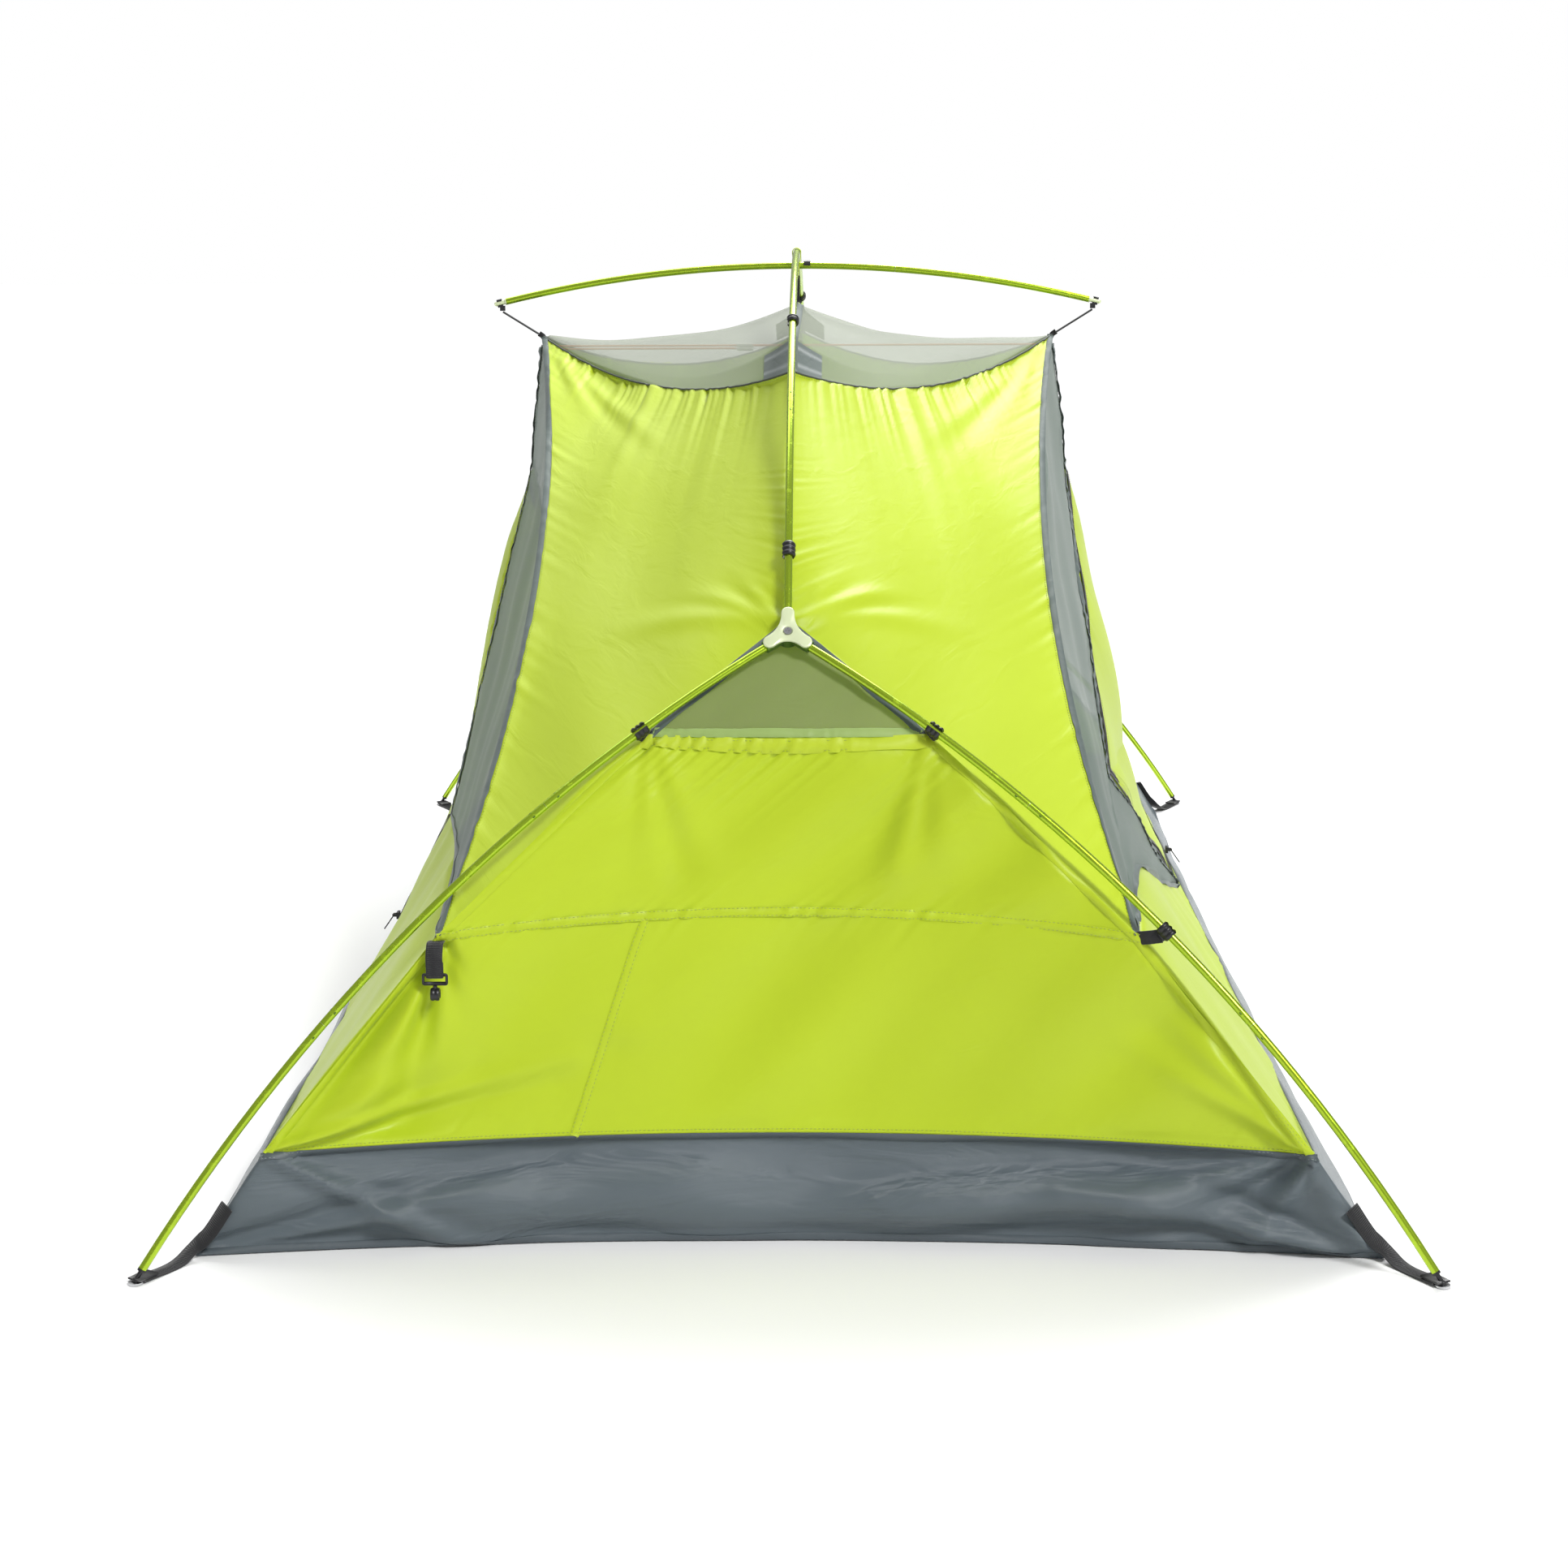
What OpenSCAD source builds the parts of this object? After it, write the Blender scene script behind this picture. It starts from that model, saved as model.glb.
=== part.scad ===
// Two-person backpacking tent body on a hubbed pole frame, pitched without its fly.
// The tent is one body of sewn panels hung from a ridge pole, four legs and a cross pole.
// +Z is up, the long side runs along Y, and the origin is on the ground at the middle.

/* [Floor] */
// Width of the floor between its corners
floor_w = 1270; // [1100:10:1500]
// Length of the floor between its corners
floor_l = 2130; // [1900:10:2400]
// Height of the bathtub wall at its corners
tub_h = 111; // [80:1:150]
// How far the corners of the bathtub wall lean in, across the tent
tub_lean_x = 75; // [40:1:100]
// How far the corners of the bathtub wall lean in, along the tent
tub_lean_y = 15; // [5:1:40]
// How far the short edges of the floor curve in at their middle
floor_sag_end = 49; // [20:1:70]
// How far the long edges of the floor curve in at their middle
floor_sag_side = 20; // [5:1:30]

/* [Pole frame] */
// Outer diameter of every pole
pole_d = 9; // [8:0.5:10]
// Wall of the pole tubes
pole_wall = 0.6; // [0.5:0.1:1]
// Height of the hubs' centres
hub_z = 638; // [580:1:700]
// Distance of the hubs' centres from the middle of the tent
hub_y = 843; // [760:1:900]
// Height of the ridge pole's centreline at its top
ridge_z = 1031; // [950:1:1100]
// How far a foot stands outside the floor's corner, across the tent
foot_out_x = 46; // [30:1:60]
// How far a foot stands outside the floor's corner, along the tent
foot_out_y = 74; // [50:1:90]
// How far a leg bows out from the straight line between its ends
leg_bow = 64; // [30:1:90]
// Half the length of the cross pole, tip to tip along X
cross_half = 400; // [330:1:460]
// How far the ends of the cross pole lie below its middle
cross_drop = 47; // [30:1:70]
// Gap between the ridge pole and the cross pole under it
cross_gap = 9; // [6:0.5:14]
// Diameter of the elastic cord inside the poles
shock_d = 2.5; // [2:0.1:3]
// Length that a ferrule reaches into each pole section
ferrule_grip = 30; // [20:1:45]
// Radial gap between a ferrule and the tube that it slides in
ferrule_fit = 0.1; // [0.05:0.01:0.15]

/* [Hubs] */
// Radius of the hub's round middle
hub_r = 13; // [11:0.5:16]
// Length of a hub arm from the hub's centre
hub_arm = 30; // [26:1:36]
// Distance of a pole's end from the hub's centre
hub_stop = 16; // [14:0.5:20]
// Thickness of a hub arm round its bore
hub_shell = 2.5; // [2:0.1:3]
// Thickness of the hub's pale top plate
hub_plate = 2; // [1.5:0.1:3]

/* [Tent body] */
// Thickness that stands for a layer of cloth
cloth = 1.6; // [1:0.1:2.5]
// Gap left for the seam between two panels
seam = 4; // [3:0.5:6]
// Half the distance between the two top corners
top_x = 350; // [300:1:380]
// Height of the two top corners
top_z = 918; // [850:1:940]
// Height of the roof under the crossing of the poles
peak_z = 962; // [900:1:980]
// Height of the door's top corner
door_top_z = 745; // [650:1:800]
// Width of the corner webbing
web_w = 20; // [15:1:25]
// Thickness of webbing
web_t = 1.6; // [1.2:0.1:2]

/* [Fittings] */
// Length of a leg clip along its pole
clip_len = 15; // [12:1:20]
// Wall of the clips
clip_wall = 2.2; // [1.8:0.1:3]
// Diameter of the line across the top of the cabin
line_d = 2.5; // [2:0.1:3]
// Width of the slider on a door's zip
slider_w = 9; // [7:0.5:11]
// Length of the pull on a door's zip
pull_len = 24; // [18:1:35]
// Gap between parts that move against each other
run_gap = 0.4; // [0.3:0.05:0.6]

/* [Hidden] */
$fn = 48;
arc_fn = 256;
pole_r = pole_d / 2;
bore_r = pole_r - pole_wall;
clip_r = pole_r + 0.2;

// Ridge pole: one circular arc in the plane x = 0, level at the top
ridge_rise = ridge_z - hub_z;
ridge_r = (hub_y * hub_y + ridge_rise * ridge_rise) / (2 * ridge_rise);
ridge_a = asin(hub_y / ridge_r);
ridge_len = ridge_r * ridge_a * PI / 90;
ridge_end_len = 356;
ridge_mid_len = (ridge_len - 2 * ridge_end_len) / 3;
// Lengths along the ridge pole at which its five sections end
ridge_cuts = [0, ridge_end_len, ridge_end_len + ridge_mid_len, ridge_end_len + 2 * ridge_mid_len,
              ridge_len - ridge_end_len, ridge_len];

// Cross pole: one circular arc in the plane y = 0
cross_z = ridge_z - pole_d - cross_gap;
cross_r = (cross_half * cross_half + cross_drop * cross_drop) / (2 * cross_drop);
cross_a = asin(cross_half / cross_r);

// Legs: planar arcs from a hub to the ground, written for the leg at +X and -Y
foot_x = floor_w / 2 + foot_out_x;
foot_y = floor_l / 2 + foot_out_y;
ball_r = 3.5;
leg_top = [0, -hub_y, hub_z];
leg_foot = [foot_x, -foot_y, ball_r];
leg_chord = leg_foot - leg_top;
leg_l = norm(leg_chord);
leg_t = leg_chord / leg_l;
bow_hint = [0.594, -0.269, 0.758];
bow_flat = bow_hint - (bow_hint * leg_t) * leg_t;
leg_d = bow_flat / norm(bow_flat);
leg_n = cross(leg_t, leg_d);
leg_r = (leg_l * leg_l / 4 + leg_bow * leg_bow) / (2 * leg_bow);
leg_a = asin(leg_l / 2 / leg_r);
leg_arc = leg_r * leg_a * PI / 90;
foot_gap = 14;
leg_ends = [hub_stop / leg_arc, 1 / 3, 2 / 3, 1 - foot_gap / leg_arc];

// Sewn points of the tent body, written for +X and -Y
tub_top = [floor_w / 2 - tub_lean_x, -(floor_l / 2 - tub_lean_y), tub_h];
tub_top_mid_y = floor_l / 2 - floor_sag_end - 13;
tub_top_rise = 8;
top_pt = [top_x, 0, top_z];
hub_pt = [0, -hub_y + 28, hub_z + 12];
clip_one_at = 113;
clip_two_at = 554;
fabric_drop = 17;
ridge_one = ridge_point(clip_one_at) - [0, 0, fabric_drop];
ridge_two = ridge_point(clip_two_at) - [0, 0, fabric_drop];
wing_pt = [0, ridge_two[1] - 62, ridge_two[2] - 40];
upper_frac = 0.2;
lower_frac = 0.533;
upper_pt = leg_point(upper_frac) + [-6, 14, -8];
lower_pt = leg_point(lower_frac) + [-27, 13, -11];
// Lower points of the side wall, written for +X: the right-hand end is at +Y
side_r = [lower_pt[0], -lower_pt[1], lower_pt[2]];
side_l = lower_pt;
door_a = [top_x + 18, 0, door_top_z];
door_b = [lower_pt[0] + 81, 300, lower_pt[2] - 25];
door_c = [tub_top[0] - 15, 210, tub_h + 27];
door_d = [tub_top[0] - 20, -20, tub_h + 27];
door_e = [lower_pt[0] + 14, -500, lower_pt[2] + 71];
band_a = [lower_pt[0] + 18, -800, lower_pt[2] + 15];
band_b = [tub_top[0] - 90, -400, tub_h + 132];
crest_a = [lower_pt[0] + 21, 700, lower_pt[2] + 10];
door_bulge = 26;
door_split = 0.66;
panel_split = 0.28;

// Ferrules and hubs
ferrule_r = bore_r - ferrule_fit;
ferrule_bore = ferrule_r - pole_wall;
section_gap = 0.3;
hub_fit = 0.5;
arm_r = pole_r + hub_shell;
hub_core_h = 2 * (pole_r + hub_fit + hub_plate);
ridge_dir = [0, cos(ridge_a), sin(ridge_a)];
leg_out = leg_dir(0);
hub_dirs = [ridge_dir, leg_out, [-leg_out[0], leg_out[1], leg_out[2]]];
screw_r = 1.7;
screw_head_r = 4.4;
screw_head_h = 1.6;
slot_w = 0.8;

// Feet, tips and hooks
plug_len = 12;
grommet_bore = ball_r + 0.5;
grommet_r = grommet_bore + 4;
grommet_h = 2.2;
tip_len = 17;
tip_r = 3.2;
tip_dir = [cos(cross_a), 0, -sin(cross_a)];
tip_pt = [cross_half, 0, cross_z - cross_drop];
hook_len = 7;
hook_wall = 2;
crossing_reach = 14;
loop_w = 14;

// Clips
clip_block_w = 8;
strap_len = 30;
strap_out = 18;
pin_r = 1.2;
strap_top = lower_pt + [0, -strap_out, -2];
pin_at = strap_top - [0, 0, strap_len + 4];

// Zips: the slider stands at the right-hand end of the level stretch
zip_lift = [0.6, 0, 0.2];
zip_w = 5;
slide_dir = (door_d - door_c) / norm(door_d - door_c);
slider_at = door_c + slide_dir * 22 + [4.4, 0, seam / 2 + 3.5];
slider_l = 13;
slider_t = 3.6;
ear_gap = 5;
ear_t = 1.4;
pull_pin_x = 6;
pull_pin_r = 0.9;
pull_lean = 35;

// Line across the top of the cabin
line_z = top_z - 13;
line_end = top_x - 18;
line_pitch = line_d + 1.5;
lock_x = -72;
lock_len = 22;
lock_r = line_d / 2 + run_gap + 1.6;

lime = [0.72, 0.85, 0.18];
lime_pale = [0.93, 0.97, 0.78];
grey_mesh = [0.68, 0.72, 0.68];
slate = [0.42, 0.47, 0.5];
pole_green = [0.55, 0.7, 0.12];
black = [0.08, 0.08, 0.09];
steel = [0.75, 0.76, 0.78];
orange = [0.9, 0.55, 0.3];

// ---- curves ----

function lerp(a, b, t) = a + (b - a) * t;

// A point on the ridge pole's centreline, at a length from the front hub
function ridge_point(s) =
    let (a = ridge_a - s / ridge_r * 180 / PI)
    [0, -ridge_r * sin(a), ridge_z - ridge_r + ridge_r * cos(a)];

// A point on a leg's centreline, from 0 at the hub to 1 at the foot
function leg_point(f) =
    let (a = (2 * f - 1) * leg_a)
    (leg_top + leg_foot) / 2 + leg_r * sin(a) * leg_t + (leg_r * cos(a) - leg_r * cos(leg_a)) * leg_d;

// The direction in which a leg runs at that point
function leg_dir(f) =
    let (a = (2 * f - 1) * leg_a)
    cos(a) * leg_t - sin(a) * leg_d;

// A point along a chain of straight pieces, whose corners are at the given parts of the way
function along(pts, at, t) =
    let (i = max([for (k = [0:len(pts) - 2]) t >= at[k] ? k : 0]))
    lerp(pts[i], pts[i + 1], (t - at[i]) / (at[i + 1] - at[i]));

// ---- sewn edges, for the end at -Y, with u from -1 to 1 across the tent ----

function tub_edge(u) = [tub_top[0] * u, -lerp(tub_top_mid_y, -tub_top[1], u * u),
                        tub_h + tub_top_rise * (1 - u * u)];
function belt_edge(u) = [lower_pt[0] * u, lower_pt[1] + 55 * (1 - u * u), lower_pt[2] + 15 * (1 - u * u)];
function hem_edge(u) = [upper_pt[0] * u, upper_pt[1] - 12 * (1 - u * u), upper_pt[2]];

// ---- edges of the wing, for +X and -Y ----

function wing_top(u) = lerp(wing_pt, top_pt, u) - [0, 0, 176 * u * (1 - u)];
function wing_foot(u) = along([hub_pt, upper_pt, lower_pt], [0, 0.42, 1], u);
function wing_ridge(v) = along([wing_pt, ridge_one, hub_pt], [0, 0.82, 1], v);
function wing_edge(v) = lerp(top_pt, lower_pt, v) + v * (1 - v) * [-184, -72, 56];
function wing_at(u, v) = (1 - v) * wing_top(u) + v * wing_foot(u) + (1 - u) * wing_ridge(v) + u * wing_edge(v)
    - (1 - u) * (1 - v) * wing_pt - u * (1 - v) * top_pt - (1 - u) * v * hub_pt - u * v * lower_pt;

// ---- the roof, for +X: a from -1 to 1 along the ridge, b from 0 at the ridge to 1 at the top corner ----

function roof_line(a) = abs(a) > ridge_two[1] / wing_pt[1]
    ? (1 - abs(a)) / (1 - ridge_two[1] / wing_pt[1]) * 40
    : lerp(peak_z - wing_pt[2], 40, abs(a) * wing_pt[1] / ridge_two[1]);
function roof_at(a, b) =
    let (edge = wing_top(b),
         mid = lerp(top_z, peak_z, pow(1 - b, 3)) - 32 * b * (1 - b),
         ridge_share = pow(1 - b, 6),
         rise = lerp((1 - a * a) * (mid - edge[2]), roof_line(a), ridge_share))
    [edge[0], -a * edge[1], edge[2] + rise];

// ---- side wall, for +X, with its right-hand end at +Y ----

function side_wing(v, s) = let (p = wing_edge(v)) [p[0], -s * p[1], p[2]];
function hinge_line(v) = along([top_pt, door_a, door_b], [0, panel_split, 1], v);
function latch_line(v) = along([top_pt, door_a, door_e], [0, panel_split, 1], v);
function crest_line(t) = along([side_r, crest_a, door_b, door_c], [0, 0.36, 0.8, 1], t);
function band_line(t) = along([side_l, band_a, band_b, door_d], [0, 0.2, 0.62, 1], t);
// The netting between the door's hinge side and the wing, down to the crest of the panel below
function hinge_strip(u, v) = v * crest_line(0.8 * (1 - u)) + (1 - u) * hinge_line(v) + u * side_wing(v, 1)
    - (1 - u) * v * door_b - u * v * side_r;
function side_tub(w) =
    let (q = w / -tub_top[1])
    [tub_top[0] - 4 * (1 - q * q), w, tub_h + 7 * (1 - q * q)];

// The closed door: u from 0 at the hinge side to 1 at the latch side, v from 0 at the top to 1 at the bottom
function door_at(u, v) =
    lerp(along([door_a, door_b, door_c], [0, door_split, 1], v),
         along([door_a, door_e, door_d], [0, door_split, 1], v), u)
    + [door_bulge * sin(180 * u) * sin(180 * min(1, v / door_split / 1.4)), 0, 0];

// ---- building blocks ----

function backwards(f) = [for (k = [len(f) - 1:-1:0]) f[k]];

// A thin closed solid: a grid of points, and the same grid moved by d
module sheet(g, d) {
    n = len(g) - 1;
    m = len(g[0]) - 1;
    count = (n + 1) * (m + 1);
    front = [for (i = [0:n - 1]) for (j = [0:m - 1]) let (k = i * (m + 1) + j)
        each [[k, k + m + 1, k + 1], [k + m + 1, k + m + 2, k + 1]]];
    rim = concat([for (i = [0:n - 1]) [i * (m + 1), (i + 1) * (m + 1)]],
                 [for (j = [0:m - 1]) [n * (m + 1) + j, n * (m + 1) + j + 1]],
                 [for (i = [0:n - 1]) [(i + 1) * (m + 1) + m, i * (m + 1) + m]],
                 [for (j = [0:m - 1]) [j + 1, j]]);
    faces = concat(front,
                   [for (f = front) [for (k = backwards(f)) k + count]],
                   [for (e = rim) each [[e[1], e[0], e[0] + count], [e[1], e[0] + count, e[1] + count]]]);
    mid_i = floor(n / 2);
    mid_j = floor(m / 2);
    normal = cross(g[mid_i + 1][mid_j] - g[mid_i][mid_j], g[mid_i][mid_j + 1] - g[mid_i][mid_j]);
    polyhedron(points = concat([for (row = g) for (p = row) p], [for (row = g) for (p = row) p + d]),
               faces = normal * d > 0 ? faces : [for (f = faces) backwards(f)]);
}

// Rows of points between two curves, held back from both by half a seam
function rows(a, b, columns) = [for (i = [0:len(a) - 1])
    let (hold = seam / 2 / norm(b[i] - a[i]))
    [for (j = [0:columns]) lerp(a[i], b[i], lerp(hold, 1 - hold, j / columns))]];

// Numbers from a to b in equal steps
function steps(a, b, count) = [for (i = [0:count]) lerp(a, b, i / count)];

// Puts its child, which points along +Z, at p with its axis along v
module aimed(p, v) {
    translate(p) rotate([0, acos(v[2] / norm(v)), atan2(v[1], v[0])]) children();
}

module tube_profile(r_out, r_in) {
    difference() {
        circle(r = r_out);
        circle(r = r_in);
    }
}

// A child profile swept along an arc in the XY plane, between two angles
module swept(r, from, to) {
    rotate([0, 0, from]) rotate_extrude(angle = to - from, start = 0, $fn = arc_fn)
        translate([r, 0]) children();
}

// The ridge pole's arc, between two lengths from the front hub
module ridge_sweep(s0, s1) {
    turn = 180 / PI / ridge_r;
    translate([0, 0, ridge_z - ridge_r]) rotate([90, 0, 90])
        swept(ridge_r, 90 + ridge_a - s1 * turn, 90 + ridge_a - s0 * turn) children();
}

// The cross pole's arc, between two angles from its middle
module cross_sweep(a0, a1) {
    translate([0, 0, cross_z - cross_r]) rotate([90, 0, 0]) swept(cross_r, 90 - a1, 90 - a0) children();
}

// A leg's arc, between two parts of the way from hub to foot, for the leg at +X and -Y
module leg_sweep(f0, f1) {
    mid = (leg_top + leg_foot) / 2 - leg_r * cos(leg_a) * leg_d;
    multmatrix([[leg_t[0], leg_d[0], leg_n[0], mid[0]],
                [leg_t[1], leg_d[1], leg_n[1], mid[1]],
                [leg_t[2], leg_d[2], leg_n[2], mid[2]]])
        swept(leg_r, 90 - (2 * f1 - 1) * leg_a, 90 - (2 * f0 - 1) * leg_a) children();
}

// Its child at +X and -Y, put at another corner
module corner(x, y) {
    mirror([x < 0 ? 1 : 0, 0, 0]) mirror([0, y > 0 ? 1 : 0, 0]) children();
}

module four_corners() {
    for (x = [-1, 1], y = [-1, 1]) corner(x, y) children();
}

module both_ends() {
    for (y = [-1, 1]) corner(1, y) children();
}

// The side at +X, or the other one, which is the same side turned half round
module side(x) {
    rotate([0, 0, x > 0 ? 0 : 180]) children();
}

// ---- poles ----

module leg_pole(x, y) {
    color(pole_green) corner(x, y) for (i = [0:2])
        leg_sweep(leg_ends[i], leg_ends[i + 1] - (i < 2 ? section_gap / leg_arc : 0))
            tube_profile(pole_r, bore_r);
}

module ridge_pole(i) {
    first = i == 1 ? hub_stop : ridge_cuts[i - 1] + section_gap / 2;
    last = i == 5 ? ridge_len - hub_stop : ridge_cuts[i] - section_gap / 2;
    color(pole_green) ridge_sweep(first, last) tube_profile(pole_r, bore_r);
}

module cross_pole(i) {
    a = [-cross_a, -cross_a / 3, cross_a / 3, cross_a];
    gap = section_gap / 2 / cross_r * 180 / PI;
    color(pole_green) cross_sweep(a[i] + (i > 0 ? gap : 0), a[i + 1] - (i < 2 ? gap : 0))
        tube_profile(pole_r, bore_r);
}

module leg_ferrules() {
    color(steel) four_corners() for (f = [leg_ends[1], leg_ends[2]])
        leg_sweep(f - ferrule_grip / leg_arc, f + ferrule_grip / leg_arc) tube_profile(ferrule_r, ferrule_bore);
}

module ridge_ferrules() {
    color(steel) for (i = [1:4])
        ridge_sweep(ridge_cuts[i] - ferrule_grip, ridge_cuts[i] + ferrule_grip)
            tube_profile(ferrule_r, ferrule_bore);
}

module cross_pole_ferrules() {
    grip = ferrule_grip / cross_r * 180 / PI;
    color(steel) for (a = [-cross_a / 3, cross_a / 3])
        cross_sweep(a - grip, a + grip) tube_profile(ferrule_r, ferrule_bore);
}

module leg_shock_cords() {
    color(black) four_corners() leg_sweep(leg_ends[0], leg_ends[3] - plug_len / leg_arc) circle(d = shock_d);
}

module ridge_shock_cord() {
    color(black) ridge_sweep(hub_stop, ridge_len - hub_stop) circle(d = shock_d);
}

module cross_pole_shock_cord() {
    color(black) cross_sweep(-cross_a, cross_a) circle(d = shock_d);
}

// ---- hubs ----

// The hub lies in the plane of the three poles that leave it
module hub_place(y) {
    corner(1, y) translate(leg_top) rotate([ridge_a, 0, 0]) children();
}

module hub_body(y) {
    color([0.25, 0.4, 0.08]) difference() {
        union() {
            hub_place(y) translate([0, 0, -hub_core_h / 2]) cylinder(r = hub_r, h = hub_core_h - hub_plate);
            corner(1, y) for (v = hub_dirs) aimed(leg_top, v) cylinder(r = arm_r, h = hub_arm);
        }
        corner(1, y) for (v = hub_dirs)
            aimed(leg_top + v * (hub_stop - 1), v) cylinder(r = pole_r + hub_fit, h = hub_arm);
        hub_place(y) translate([0, 0, hub_core_h / 2 - hub_plate]) cylinder(r = 3 * hub_arm, h = 3 * hub_plate);
        hub_place(y) translate([0, 0, -hub_core_h / 2 - 1]) cylinder(r = screw_r + 0.1, h = hub_core_h + 2);
    }
}

module hub_cap(y) {
    arm_angles = [for (v = hub_dirs) atan2(v * ridge_dir, v[0])];
    color(lime_pale) hub_place(y) translate([0, 0, hub_core_h / 2 - hub_plate + 0.1]) difference() {
        union() {
            cylinder(r = hub_r, h = hub_plate);
            for (a = arm_angles) rotate([0, 0, a]) {
                translate([0, -arm_r, 0]) cube([hub_arm - arm_r, 2 * arm_r, hub_plate]);
                translate([hub_arm - arm_r, 0, 0]) cylinder(r = arm_r, h = hub_plate);
            }
        }
        translate([0, 0, -1]) cylinder(r = screw_r + 0.1, h = hub_plate + 2);
        translate([0, 0, hub_plate / 2]) cylinder(r = screw_head_r + 0.6, h = hub_plate);
    }
}

module hub_screws() {
    color(steel) for (y = [-1, 1]) hub_place(y) translate([0, 0, -hub_core_h / 2 + 1]) difference() {
        union() {
            cylinder(r = screw_r, h = hub_core_h - screw_head_h);
            translate([0, 0, hub_core_h - hub_plate / 2 - screw_head_h / 2])
                cylinder(r = screw_head_r, h = screw_head_h);
        }
        for (a = [0, 90]) rotate([0, 0, a])
            translate([-3, -slot_w / 2, hub_core_h - hub_plate / 2]) cube([6, slot_w, 3]);
    }
}

// ---- feet and corner webbing ----

module pole_feet() {
    shank = leg_dir(1);
    color(black) four_corners() {
        translate(leg_foot) sphere(r = ball_r);
        aimed(leg_foot, -shank) cylinder(r = 2.4, h = foot_gap - 1.5);
        aimed(leg_foot - shank * (foot_gap - 3), -shank) cylinder(r = pole_r, h = 2.6);
        aimed(leg_foot - shank * (foot_gap - 1), -shank) cylinder(r = bore_r - 0.2, h = plug_len);
    }
}

module foot_grommets() {
    color(steel) four_corners() translate([leg_foot[0], leg_foot[1], 0]) difference() {
        cylinder(r = grommet_r, h = grommet_h);
        translate([0, 0, -1]) cylinder(r = grommet_bore, h = grommet_h + 2);
    }
}

module foot_webbing() {
    start = [floor_w / 2 - 6, -(floor_l / 2 - 6), 0];
    run = [leg_foot[0], leg_foot[1], 0] - start;
    color(black) four_corners() translate(start) rotate([0, 0, atan2(run[1], run[0])]) difference() {
        union() {
            translate([14, -web_w / 2, 0.1]) cube([norm(run) - 14, web_w, web_t]);
            translate([norm(run), 0, 0.1]) cylinder(r = web_w / 2, h = web_t);
        }
        translate([norm(run), 0, -1]) cylinder(r = grommet_r + 0.2, h = 5);
    }
}

// ---- cross pole tips, hooks and crossing ----

module cross_pole_tips() {
    color(lime_pale) for (x = [-1, 1]) corner(x, -1) {
        aimed(tip_pt + tip_dir * 0.1, tip_dir) cylinder(r = pole_r, h = 1.5);
        aimed(tip_pt + tip_dir, tip_dir) cylinder(r = tip_r, h = tip_len - 3);
        aimed(tip_pt + tip_dir * (tip_len - 2), tip_dir) cylinder(r1 = tip_r, r2 = tip_r - 1.2, h = 2);
    }
}

// A hook of flat stock that lies over the pole's tip and holds a loop of elastic
module corner_hooks() {
    color(black) for (x = [-1, 1]) corner(x, -1) {
        aimed(tip_pt + tip_dir * 6, tip_dir) difference() {
            cylinder(r = tip_r + run_gap + hook_wall, h = hook_len);
            translate([0, 0, -1]) cylinder(r = tip_r + run_gap, h = hook_len + 2);
            translate([-10, -20 - 2.6, -1]) cube([20, 20, hook_len + 2]);
        }
        translate(tip_pt + [2, -2.5, -12.5]) cube([7, 5, 7]);
    }
}

module corner_elastics() {
    low = top_pt + [5, 0, 3];
    high = tip_pt + [5, 0, -14];
    color(black) for (x = [-1, 1], y = [-2, 2]) corner(x, -1) aimed(low + [0, y, 0], high - low)
        cylinder(d = shock_d, h = norm(high - low));
}

module crossing_clip() {
    bore = clip_r + run_gap;
    low = cross_drop * pow(crossing_reach / cross_half, 2);
    color(black) translate([crossing_reach, 0, cross_z - low]) rotate([0, 90, 0]) difference() {
        cylinder(r = bore + clip_wall, h = 9, center = true);
        cylinder(r = bore, h = 11, center = true);
        translate([0, -10, -10]) cube([20, 20, 20]);
    }
}

module crossing_loop() {
    y0 = -(clip_r + clip_wall + 2) - loop_w;
    inner = clip_r + 0.2;
    outer = inner + web_t;
    throat = cross_z - pole_r - 8;
    color(lime) translate([0, y0 + loop_w, 0]) rotate([90, 0, 0]) linear_extrude(height = loop_w) difference() {
        union() {
            translate([0, ridge_z]) circle(r = outer);
            polygon([[-outer, ridge_z], [outer, ridge_z], [2.2, throat], [-2.2, throat]]);
        }
        translate([0, ridge_z]) circle(r = inner);
        polygon([[-inner, ridge_z], [inner, ridge_z], [0.8, throat + 4], [-0.8, throat + 4]]);
    }
    color(black) sheet([for (t = [0, 1]) [for (x = [-3, 3])
        [x, lerp(y0 + loop_w / 2, -4, t), lerp(throat - 0.5, peak_z + 3, t)]]], [0, -web_t, 0]);
}

// ---- clips ----

// An open ring round a pole, whose mouth faces away from +X of its own frame
module clip_ring(length, mouth) {
    difference() {
        cylinder(r = clip_r + clip_wall, h = length, center = true);
        cylinder(r = clip_r, h = length + 2, center = true);
        translate([-20 - clip_r * 0.5, -mouth / 2, -length]) cube([20, mouth, 2 * length]);
    }
}

module ridge_clips() {
    color(black) both_ends() for (s = [clip_one_at, clip_two_at]) {
        a = ridge_a - s / ridge_r * 180 / PI;
        translate(ridge_point(s)) rotate([a - 90, 0, 0]) {
            clip_ring(s == clip_one_at ? clip_len : clip_len - 4, 5);
            translate([-clip_block_w / 2, clip_r + clip_wall - 0.6, -3.5]) cube([clip_block_w, 5.2, 7]);
        }
    }
}

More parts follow.
